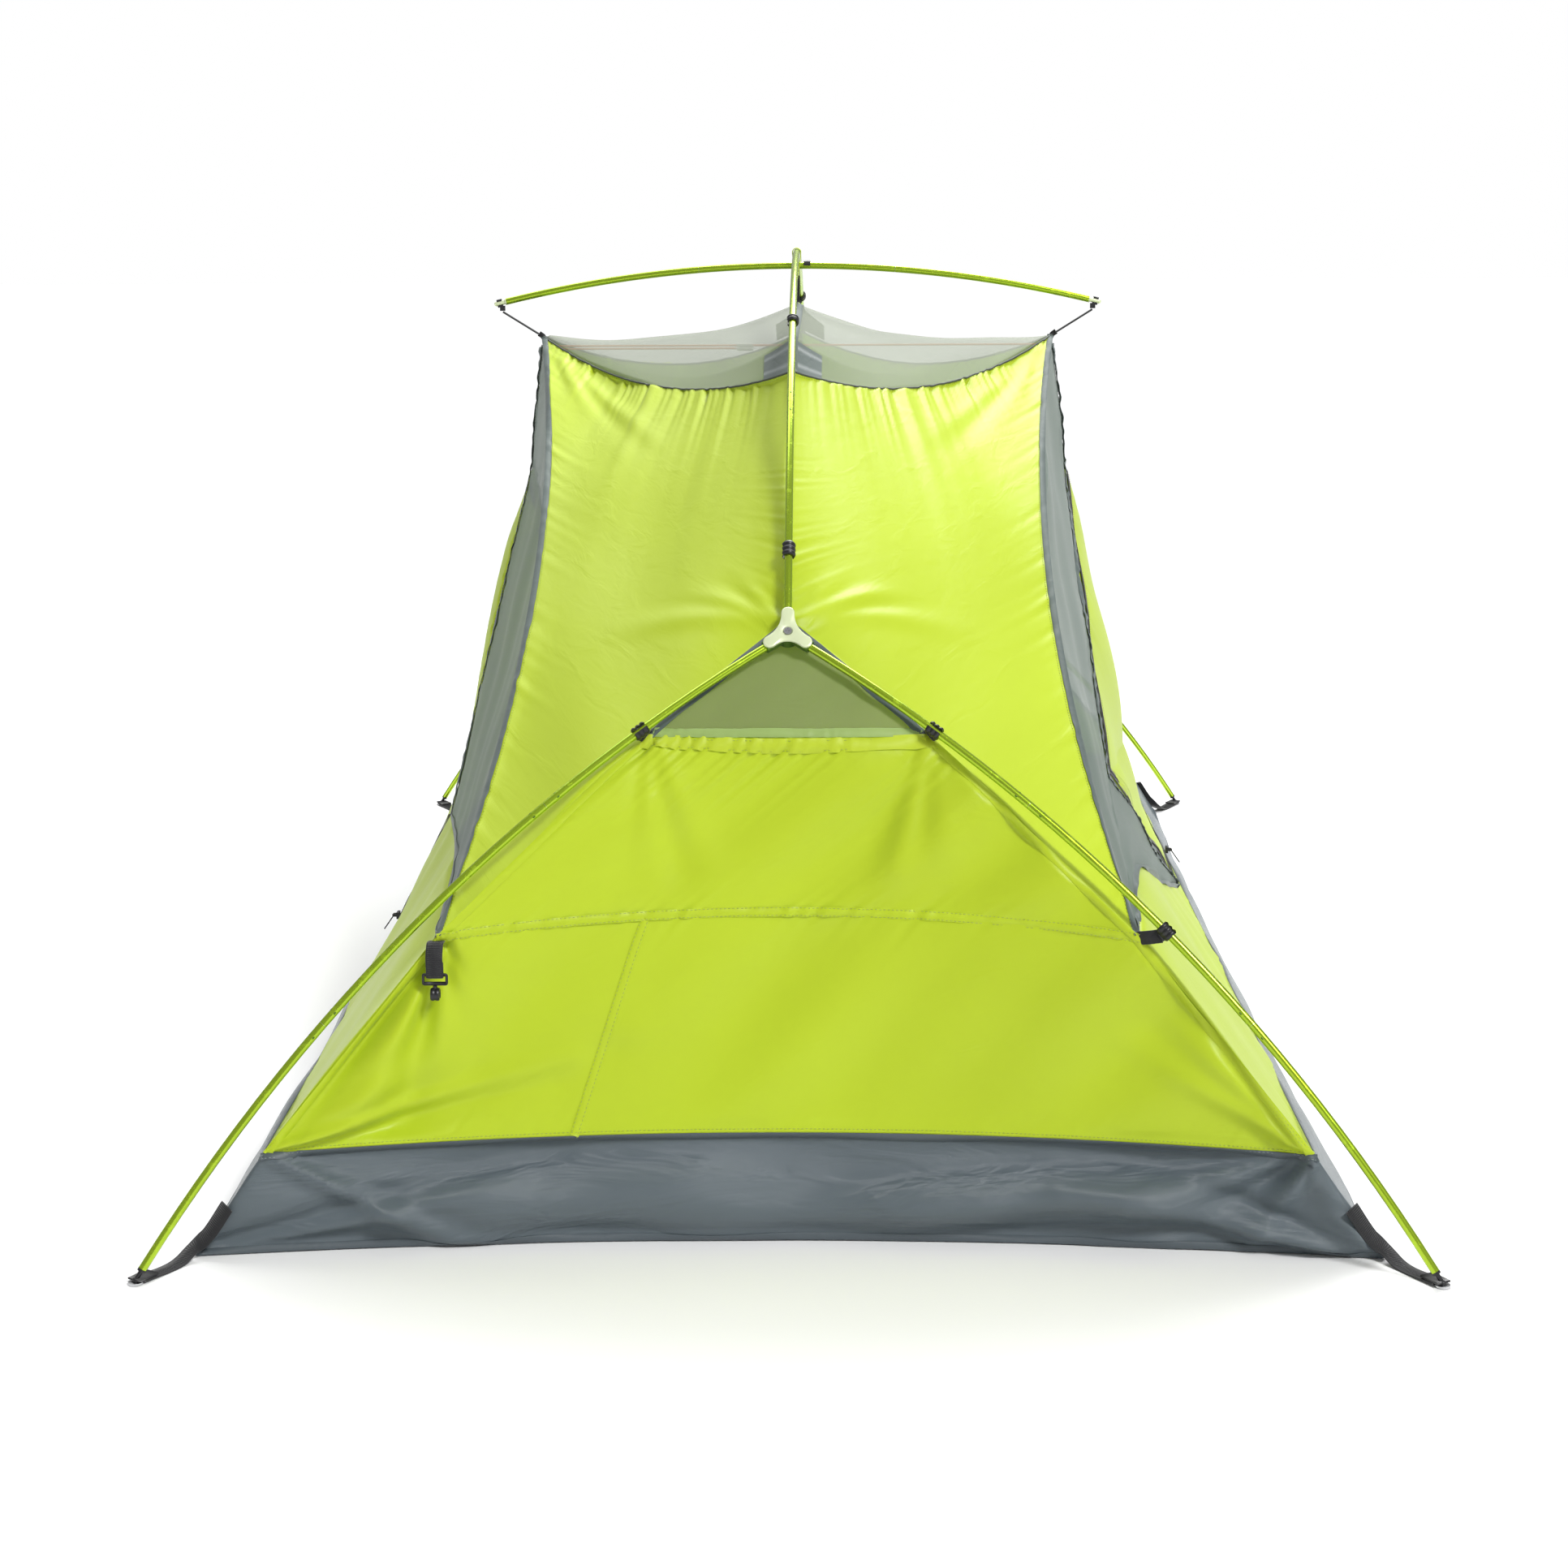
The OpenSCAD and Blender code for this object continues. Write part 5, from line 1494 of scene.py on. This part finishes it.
class TENT_OT_wings(bpy.types.Operator):
    """Sews the four lime wings from the ridge to the legs, with piping along their tops"""

    bl_idname = "tent.wings"
    bl_label = "Wings"

    def execute(self, context):
        sizes = context.scene.tent_sizes
        for y, end in ((1, "front"), (-1, "rear")):
            piping, binding = Shape(), Shape()
            for x, side in ((-1, "left"), (1, "right")):
                seed = 100 + 10 * (x + 1) + 3 * (y + 1)
                panel = Panel(wing_at, (120, 190), turn=(x, y, 1), folds=wing_folds(seed))
                PANELS[f"wing_{end}_{side}"] = panel
                sheet_piece(
                    f"wing_{end}_{side}", [panel], "tent", "lime_cloth", "lime", sizes.cloth,
                    [f"wing_{end}"] if x < 0 else [],
                )
                path, ups = panel.line("v0", 0.0005, count=90)
                swept(piping, path, ups, round_profile(0.0014, 8))
                tape(binding, panel, "u1", 0.003, 0.008, thick=0.0009)
                stitch(panel, "v0", 0.0045)
                stitch(panel, "u1", 0.0095)
                stitch(panel, "u0", 0.0035)
            path, ups = PANELS[f"wing_{end}_left"].line("u0", 0.0, count=90)
            swept(piping, path, ups, round_profile(0.0013, 8))
            piping.piece(f"wing_{end}_piping", "tent", "grey_mesh", finish("piping"))
            binding.piece(f"wing_{end}_binding", "tent", "grey_mesh", finish("tape"))
        return {"FINISHED"}


class TENT_OT_roof(bpy.types.Operator):
    """Sews the netting roof, with its ridge tape and patches"""

    bl_idname = "tent.roof"
    bl_label = "Roof netting"

    def execute(self, context):
        panels = []
        shape = Shape()
        for x in (-1, 1):
            def folds(points, s, t, u, v, seed=130 + x):
                return 0.0028 * waves(s, t, 0.30, seed) * np.clip(v * 3, 0, 1)

            panel = Panel(roof_at, (150, 70), u=(-1, 1), v=(0, 0.99), turn=(x, 1, 1), folds=folds)
            panels.append(panel)
        sheet_piece("roof_net", panels, "tent", "grey_mesh", "roof_net", 0, ["roof_mesh"])
        tape(shape, panels[1], "v0", 0.004, 0.010, thick=0.0008)
        for y in (-1, 1):
            a = -y * (1 + RIDGE_TWO[1] / WING[1]) / 2
            us = np.linspace(a - 0.06, a + 0.06, 12)
            for panel in panels:
                index = ((us + 1) / 2 * 149).astype(int)
                grid = panel.points[index][:, :8] + panel.normals[index][:, :8] * 0.0012
                place = np.stack([panel.s[index][:, :8], panel.t[index][:, :8]], -1)
                shape.add(grid, grid_faces(len(index), 8, panel.flip), place)
        shape.piece("roof_tape", "tent", "grey_mesh", finish("tape"))
        return {"FINISHED"}


# ---- sides and doors ----


def side_turn(x):
    """The side at +X, or the other one, which is the same side turned half round."""
    return (x, x, 1)


class TENT_OT_side_nets(bpy.types.Operator):
    """Sews the netting round the doors"""

    bl_idname = "tent.side_nets"
    bl_label = "Side netting"

    def execute(self, context):
        for x, side in ((-1, "left"), (1, "right")):
            turn = side_turn(x)
            panels, shape = [], Shape()
            strips = (hinge_strip, (60, 150)), (latch_strip, (60, 150)), (band_strip, (40, 90))
            for k, (surface, counts) in enumerate(strips):
                def folds(points, s, t, u, v, seed=150 + 7 * k + x):
                    return 0.0030 * waves(s, t * 0.5, 0.16, seed) + gather(t, s, 0.03, 0.0016, 0.02, seed)

                span = (0.02, 1) if k < 2 else (0, 0.97)
                panels.append(Panel(surface, counts, v=span, turn=turn, folds=folds))
            for panel, name in zip(panels, ("hinge", "latch", "band")):
                PANELS[f"net_{name}_{side}"] = panel
            # The side netting's finish is painted dark as shade from the tent's inside
            sheet_piece(
                f"side_net_painted_shade_{side}", panels, "tent", "grey_mesh", "side_net_painted_shade", 0, [f"side_mesh_{side}"],
            )
            tape(shape, panels[0], "u0", 0.003, 0.010, thick=0.0009, ruffle=0.0012, seed=161)
            tape(shape, panels[1], "u0", 0.005, 0.010, thick=0.0009, ruffle=0.0018, seed=163)
            tape(shape, panels[2], "u0", 0.005, 0.009, thick=0.0009, ruffle=0.0012, seed=167)
            tape(shape, panels[2], "u1", 0.003, 0.008, thick=0.0009)
            tape(shape, panels[0], "v1", 0.003, 0.008, thick=0.0009)
            shape.piece(f"side_net_painted_shade_{side}_tape", "tent", "grey_mesh", finish("tape"))
            stitch(panels[0], "u0", 0.006, thread="grey_thread")
            stitch(panels[1], "u0", 0.008, thread="grey_thread")
        return {"FINISHED"}


# A panel lower than this is too low to fold much
LOW_PANEL = 0.06


class TENT_OT_side_panels(bpy.types.Operator):
    """Sews the lime panels between the doors and the bathtub"""

    bl_idname = "tent.side_panels"
    bl_label = "Side panels"

    def execute(self, context):
        sizes = context.scene.tent_sizes
        for x, side in ((-1, "left"), (1, "right")):
            turn, panels, seams = side_turn(x), [], Shape()
            for k, (surface, counts) in enumerate(
                ((panel_right, (190, 50)), (panel_middle, (50, 12)), (panel_left, (230, 50)))
            ):
                def folds(points, s, t, u, v, seed=180 + 9 * k + x):
                    out = 0.0030 * waves(s, t * 0.5, 0.20, seed)
                    out += gather(s, t, 0.019, 0.0016, 0.03, seed)
                    return out * (0.3 if t.max() < LOW_PANEL else 1)

                panels.append(Panel(surface, counts, turn=turn, folds=folds))
            sheet_piece(
                f"side_panel_{side}_cloth", panels, "tent", "lime_cloth", "lime", sizes.cloth,
                [f"side_panel_{side}"],
            )
            for k, panel in enumerate(panels):
                stitch(panel, "v0", 0.004)
                if k == 0:
                    tape(seams, panel, "u0", 0.0045, 0.009)
                    stitch(panel, "u0", 0.0068)
                if k == 2:
                    tape(seams, panel, "u1", 0.0045, 0.009)
                    stitch(panel, "u1", 0.0068)
            seams.piece(f"side_panel_{side}_seams", "tent", "lime_cloth", finish("lime"))
        return {"FINISHED"}


def zip_line(a, b, inset, shares, count, turn):
    """A line beside a door's edge, inset towards the door's middle, with its outward direction."""
    turn = np.array(turn, float)
    run = (b - a) / np.linalg.norm(b - a)
    centre = (DOOR_A + DOOR_B + DOOR_C + DOOR_D + DOOR_E) / 5
    inward = (centre - a) - ((centre - a) @ run) * run
    inward /= np.linalg.norm(inward)
    out = np.cross(run, inward)
    out = out if out[0] > 0 else -out
    t = np.linspace(*shares, count)
    path = lerp(a, b, col(t)) + inward * inset
    return path * turn, np.broadcast_to(out * turn, path.shape)


def laid_on(panel, path, ups, lift):
    """Raises a line to the height of the panel's cloth under it."""
    flat = panel.points.reshape(-1, 3)
    near = np.array([flat[np.argmin(((flat - p) ** 2).sum(1))] for p in path])
    height = ((near - path) * ups).sum(1)
    height = np.convolve(np.pad(height, 2, mode="edge"), np.ones(5) / 5, mode="valid")
    return path + ups * col(height + lift), ups


class TENT_OT_doors(bpy.types.Operator):
    """Sews the two doors, their zips and their tapes"""

    bl_idname = "tent.doors"
    bl_label = "Doors"

    def execute(self, context):
        sizes = context.scene.tent_sizes
        corners = (
            (DOOR_B, DOOR_C, (0.04, 0.985)),
            (DOOR_C, DOOR_D, (0.02, 0.98)),
            (DOOR_D, DOOR_E, (0.02, 0.99)),
            (DOOR_E, DOOR_A, (0.01, 0.97)),
        )
        for x, side in ((-1, "left"), (1, "right")):
            turn, body = side_turn(x), f"door_{side}"

            def folds(points, s, t, u, v, seed=210 + x):
                wide = s[-1:, :]
                out = 0.0055 * waves(s, t * 0.6, 0.26, seed)
                out += gather(t, s, 0.028, 0.0024, 0.03, seed + 2)
                out += gather(t, wide - s, 0.03, 0.0028, 0.035, seed + 3)
                return out * np.clip(v * 6, 0, 1)

            panel = Panel(
                door_at, (110, 200), u=(0.004, 0.996), v=(0.02, 0.994), turn=turn, folds=folds, hold=0.012
            )
            sheet_piece(
                f"door_{side}_cloth", [panel], body, "lime_cloth", "lime", sizes.cloth, [f"door_{side}"],
            )
            tapes, outer, inner, seams = Shape(), [], [], []
            for a, b, shares in corners:
                path, ups = laid_on(panel, *zip_line(a, b, 0.0075, shares, 70, turn), 0.0016)
                swept(tapes, path, ups, flat_profile(0.013, 0.0010))
                for inset, rows in ((0.0050, outer), (0.0069, inner)):
                    rows.append(laid_on(panel, *zip_line(a, b, inset, shares, 70, turn), 0.0025))
                seams.append(laid_on(panel, *zip_line(a, b, 0.0128, shares, 70, turn), 0.0023))
            zip_tape = tapes.piece(f"door_zip_{side}_tape", body, "black_webbing", finish("webbing"))
            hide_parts(f"door_zip_{side}")
            size = (sizes.tooth_pitch * 0.62, 0.0026, 0.0016)
            for row, paths in (("outer", outer), ("inner", inner)):
                name = f"door_zip_{side}_{row}_teeth"
                beads(name, body, paths, sizes.tooth_pitch, size, finish("zip"))
            STITCHES.setdefault((body, "lime_thread"), []).extend(seams)
            stitch(panel, "u0", 0.006, body=body)
        return {"FINISHED"}


class TENT_OT_stitching(bpy.types.Operator):
    """Sews the rows of stitches along every noted seam"""

    bl_idname = "tent.stitching"
    bl_label = "Stitching"

    def execute(self, context):
        sizes = context.scene.tent_sizes
        size = (sizes.stitch, sizes.thread, sizes.thread * 0.7)
        for (body, thread), rows in sorted(STITCHES.items()):
            beads(f"stitches_{body}_{thread}", body, rows, sizes.stitch_pitch, size, finish(thread))
        return {"FINISHED"}


# ---- clips and webbing ----

BORE = POLE_R + 0.0002
# Distance from rib to rib along the webbing
RIB_PITCH = 0.0021


def leg_clip(plastic, straps, frac, to, turn):
    """A ribbed barrel round a leg, with the folded webbing that holds it to the cloth."""
    turn = np.array(turn, float)
    place, along_leg = leg_point(frac), leg_dir(frac)
    out = (place - to) - ((place - to) @ along_leg) * along_leg
    out /= np.linalg.norm(out)
    section = barrel(0.0165, BORE, 0.0066, 0.0013, 3)
    ring_of(plastic, place * turn, along_leg * turn, out * turn, section, 44)
    foot = place - out * 0.0068
    neck = np.array([foot + out * 0.0012, foot - out * 0.003])
    swept(plastic, neck * turn, along_leg * turn, flat_profile(0.006, 0.011))
    inward = (to - foot) / np.linalg.norm(to - foot)
    side = np.cross(inward, along_leg)
    side = side if side[2] < 0 else -side
    slack = lerp(foot, to, 0.55) + side * 0.0022
    points = [foot - out * 0.0005, slack, to - side * 0.0006, to + inward * 0.0015]
    path = soft_chain(points, [0, 0.4, 0.75, 1], np.linspace(0, 1, 16)) * turn
    up = np.cross(along_leg, inward) * turn
    swept(straps, path, up, flat_profile(0.015, 0.0018))


class TENT_OT_clips(bpy.types.Operator):
    """Clips the cloth to the poles with ribbed black barrels"""

    bl_idname = "tent.clips"
    bl_label = "Pole clips"

    def execute(self, context):
        plastic, straps = Shape(), Shape()
        for x in (-1, 1):
            for y in (1, -1):
                leg_clip(plastic, straps, UPPER_FRAC, UPPER, (x, y, 1))
                if (x, y) != (-1, 1):
                    leg_clip(plastic, straps, LOWER_FRAC, LOWER, (x, y, 1))
            tab = np.array([TOP - p3(0.007, 0, 0.012), TOP + p3(0.001, 0, 0.001), TOP + p3(0.006, 0, 0.0045)])
            swept(straps, tab * p3(x, 1, 1), p3(0, 1, 0), flat_profile(0.0075, 0.0026))
        obj = plastic.piece("leg_clip_barrels", "tent", "black_plastic", finish("plastic"))
        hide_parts("upper_leg_clips", "lower_leg_clips")
        straps.piece("leg_clip_webbing", "tent", "black_webbing", finish("webbing"))
        ridge = Shape()
        for y in (1, -1):
            turn = p3(1, y, 1)
            for s, length, count in ((CLIP_AT[0], 0.0185, 3), (CLIP_AT[1], 0.0125, 2)):
                place = ridge_point(s)
                d = ridge_point(s + 0.001) - place
                down = p3(0, 0, -1) - (p3(0, 0, -1) @ d) / (d @ d) * d
                section = barrel(length, BORE, 0.0067, 0.0013, count)
                ring_of(ridge, place * turn, d * turn, p3(-1, 0, 0), section, 50)
                swept(
                    ridge, np.array([place + down * 0.0062, place + down * 0.0105]) * turn, d * turn,
                    flat_profile(0.0045, 0.0075),
                )
                swept(
                    ridge, np.array([place + down * 0.0095, place + down * 0.0165]) * turn, d * turn,
                    flat_profile(0.0018, 0.013),
                )
        obj = ridge.piece("ridge_clip_barrels", "tent", "black_plastic", finish("plastic"))
        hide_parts("ridge_clips")
        return {"FINISHED"}


class TENT_OT_corner_webbing(bpy.types.Operator):
    """Runs ribbed webbing from the bathtub's corners to the feet of the poles"""

    bl_idname = "tent.corner_webbing"
    bl_label = "Corner webbing"

    def execute(self, context):
        width = context.scene.tent_sizes.webbing
        straps, ribs = Shape(), []
        low = p3(FLOOR_X, -FLOOR_Y, 0)
        high = TUB_TOP
        away = p3(FOOT[0] - low[0], FOOT[1] - low[1], 0)
        away /= np.linalg.norm(away)
        end = p3(FOOT[0], FOOT[1], 0) - away * 0.004
        points = [
            lerp(low, high, 0.50) + away * 0.0035,
            lerp(low, high, 0.22) + away * 0.0045,
            low + away * 0.004 + p3(0, 0, 0.010),
            low + away * 0.022 + p3(0, 0, 0.0026),
            end + p3(0, 0, 0.0028),
        ]
        path = soft_chain(points, [0, 0.28, 0.48, 0.62, 1], np.linspace(0, 1, 60))
        across = np.cross(away, p3(0, 0, 1))
        for x in (-1, 1):
            for y in (1, -1):
                turn = p3(x, y, 1)
                run = np.gradient(path, axis=0)
                run /= np.linalg.norm(run, axis=1, keepdims=True)
                ups = np.cross(across, run)
                ups = ups * np.sign(ups[:, 2:] + ups[:, :1])
                swept(straps, path * turn, ups * turn, flat_profile(width, 0.0017))
                ribs.append(((path + ups * 0.0009) * turn, ups * turn))
                pocket = np.array([end + away * k for k in (-0.020, -0.010, 0.006)]) + p3(0, 0, 0.0048)
                swept(straps, pocket * turn, p3(0, 0, 1), flat_profile(width * 0.92, 0.0022))
        obj = straps.piece("corner_webbing", "tent", "black_webbing", finish("webbing"))
        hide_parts("foot_webbing")
        rib = (0.0012, width * 0.94, 0.0007)
        beads("corner_webbing_ribs", "tent", ribs, RIB_PITCH, rib, finish("webbing"))
        return {"FINISHED"}


class TENT_OT_loose_clip(bpy.types.Operator):
    """Hangs the front left clip on its webbing, off its pole"""

    bl_idname = "tent.loose_clip"
    bl_label = "Loose clip"

    def execute(self, context):
        turn = p3(-1, 1, 1)
        strap, ribs = Shape(), []
        y, z = p3(0, 1, 0), p3(0, 0, 1)
        x0 = p3(LOWER[0], 0, 0)
        drop = PIN[2] + 0.004
        points = [
            LOWER * p3(0, 1, 1) + x0 + 0.003 * y - 0.004 * z,
            x0 + (LOWER[1] - 0.010) * y + (LOWER[2] - 0.0035) * z,
            x0 + (PIN[1] - 0.0008) * y + (LOWER[2] - 0.012) * z,
            x0 + (PIN[1] - 0.0024) * y + (drop + 0.008) * z,
            x0 + (PIN[1] - 0.0024) * y + drop * z,
        ]
        path = soft_chain(points, [0, 0.25, 0.45, 0.8, 1], np.linspace(0, 1, 34))
        wrap = arc(PIN, 180, 352, 0.0024, y, z, 14)
        up_again = np.array([PIN + 0.0024 * y + k * z for k in (0.004, 0.010, 0.014)])
        path = np.concatenate([path, wrap, up_again])
        run = np.gradient(path, axis=0)
        ups = np.cross(p3(1, 0, 0), run)
        ups /= np.linalg.norm(ups, axis=1, keepdims=True)
        swept(strap, path * turn, ups * turn, flat_profile(0.018, 0.0013))
        ribs.append(((path + ups * 0.0007) * turn, ups * turn))
        ribs.append(((path - ups * 0.0007) * turn, ups * turn))
        obj = strap.piece("loose_clip_webbing", "tent", "black_webbing", finish("webbing"))
        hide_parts("loose_clip_strap")
        rib = (0.0012, 0.0172, 0.0006)
        beads("loose_clip_webbing_ribs", "tent", ribs, RIB_PITCH, rib, finish("webbing"))

        buckle = Shape()
        x = p3(1, 0, 0)
        w = 0.0125

        def bar(a, b, radius, flat=1.0):
            profile = [(p[0], p[1] * flat) for p in round_profile(radius, 10)]
            swept(buckle, np.array([a, lerp(a, b, 0.5), b]) * turn, y, profile)

        corners = [(-w, 0.0012), (w, 0.0012), (w, -0.0095), (-w, -0.0095)]
        loop = []
        for k, (cx, cz) in enumerate(corners):
            sx, sz = (1 if cx > 0 else -1), (1 if cz > 0 else -1)
            centre = PIN + (cx - sx * 0.0016) * x + (cz - sz * 0.0016) * z
            start = (180, 90, 0, -90)[k]
            loop.append(arc(centre, start, start - 90, 0.0016, x, z, 6))
        swept(buckle, np.concatenate(loop) * turn, y, round_profile(0.0015, 10), closed=True)
        bar(PIN - w * x, PIN + w * x, 0.0011)
        bar(PIN - w * x - 0.0085 * z, PIN + w * x - 0.0085 * z, 0.0019)
        bar(PIN - 0.0095 * z, PIN - 0.0165 * z, 0.0024)
        ring_of(buckle, (PIN - (0.016 + BORE) * z) * turn, x, -z, barrel(0.0095, BORE, 0.0066, 0.0008, 2), 74)
        obj = buckle.piece("loose_clip_hook", "hanging_clip", "black_plastic", finish("plastic"))
        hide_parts("loose_clip")
        return {"FINISHED"}


# ---- crossing ----


class TENT_OT_crossing(bpy.types.Operator):
    """Ties the roof to the crossing of the ridge pole and the cross pole"""

    bl_idname = "tent.crossing"
    bl_label = "Crossing loop"

    def execute(self, context):
        x, z = p3(1, 0, 0), p3(0, 0, 1)
        middle = p3(0, -0.0157, 0)
        inner = POLE_R + 0.0012
        throat = CROSS_Z - POLE_R - 0.008
        top = middle + RIDGE_Z * z
        sides = [
            middle + (throat - 0.004) * z - 0.0012 * x,
            middle + (throat + 0.006) * z - 0.0026 * x,
            top - 0.004 * z - (inner - 0.0002) * x,
        ]
        over = arc(top, 180, 0, inner, x, z, 18)
        back = [(p - middle) * p3(-1, 1, 1) + middle for p in reversed(sides)]
        rise = soft_chain(sides, [0, 0.4, 1], np.linspace(0, 0.96, 12))
        fall = soft_chain(back, [0, 0.6, 1], np.linspace(0.04, 1, 12))
        path = np.concatenate([rise, over, fall])
        run = np.gradient(path, axis=0)
        ups = np.cross(run, p3(0, 1, 0))
        ups /= np.linalg.norm(ups, axis=1, keepdims=True)
        loop = swept(Shape(), path, ups, flat_profile(0.0135, 0.0011))
        obj = loop.piece("crossing_loop_cloth", "tent", "lime_cloth", finish("hem"))
        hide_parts("crossing_loop")
        # The strap from the roof's peak up under the cross pole gets the black webbing finish as painted
        # shade: it stands for lime webbing lying in shadow there
        low = p3(0, -0.004, PEAK_Z + 0.0015)
        points = [middle + (throat - 0.0005) * z, middle * 0.6 + (throat - 0.016) * z, low]
        path = soft_chain(points, [0, 0.5, 1], np.linspace(0, 1, 14))
        strap = swept(Shape(), path, p3(0, -1, 0), flat_profile(0.008, 0.0016))
        strap.piece("crossing_strap_painted_shade", "tent", "black_webbing", finish("webbing"))
        return {"FINISHED"}


# ---- panel and start ----

STEPS = (
    TENT_OT_stage,
    TENT_OT_hard_parts,
    TENT_OT_pole_crimps,
    TENT_OT_hub_plates,
    TENT_OT_floor,
    TENT_OT_end_walls,
    TENT_OT_end_nets,
    TENT_OT_wings,
    TENT_OT_roof,
    TENT_OT_side_nets,
    TENT_OT_side_panels,
    TENT_OT_doors,
    TENT_OT_clips,
    TENT_OT_corner_webbing,
    TENT_OT_loose_clip,
    TENT_OT_crossing,
    TENT_OT_stitching,
)


class TENT_PT_steps(bpy.types.Panel):
    """Lists the tent's pieces in the order in which they are made"""

    bl_label = "Tent body"
    bl_idname = "TENT_PT_steps"
    bl_space_type = "VIEW_3D"
    bl_region_type = "UI"
    bl_category = "Tent"

    def draw(self, context):
        for group in (context.scene.tent_looks, context.scene.tent_sizes):
            for key in type(group).__annotations__:
                self.layout.prop(group, key)
        for step in STEPS:
            self.layout.operator(step.bl_idname)


def register():
    for cls in (TentLooks, TentSizes, *STEPS, TENT_PT_steps):
        bpy.utils.register_class(cls)
    bpy.types.Scene.tent_looks = bpy.props.PointerProperty(type=TentLooks)
    bpy.types.Scene.tent_sizes = bpy.props.PointerProperty(type=TentSizes)


def unregister():
    del bpy.types.Scene.tent_looks
    del bpy.types.Scene.tent_sizes
    for cls in (TENT_PT_steps, *reversed(STEPS), TentSizes, TentLooks):
        bpy.utils.unregister_class(cls)


def main():
    register()
    for step in STEPS:
        group, name = step.bl_idname.split(".")
        getattr(getattr(bpy.ops, group), name)()


if __name__ == "__main__":
    main()
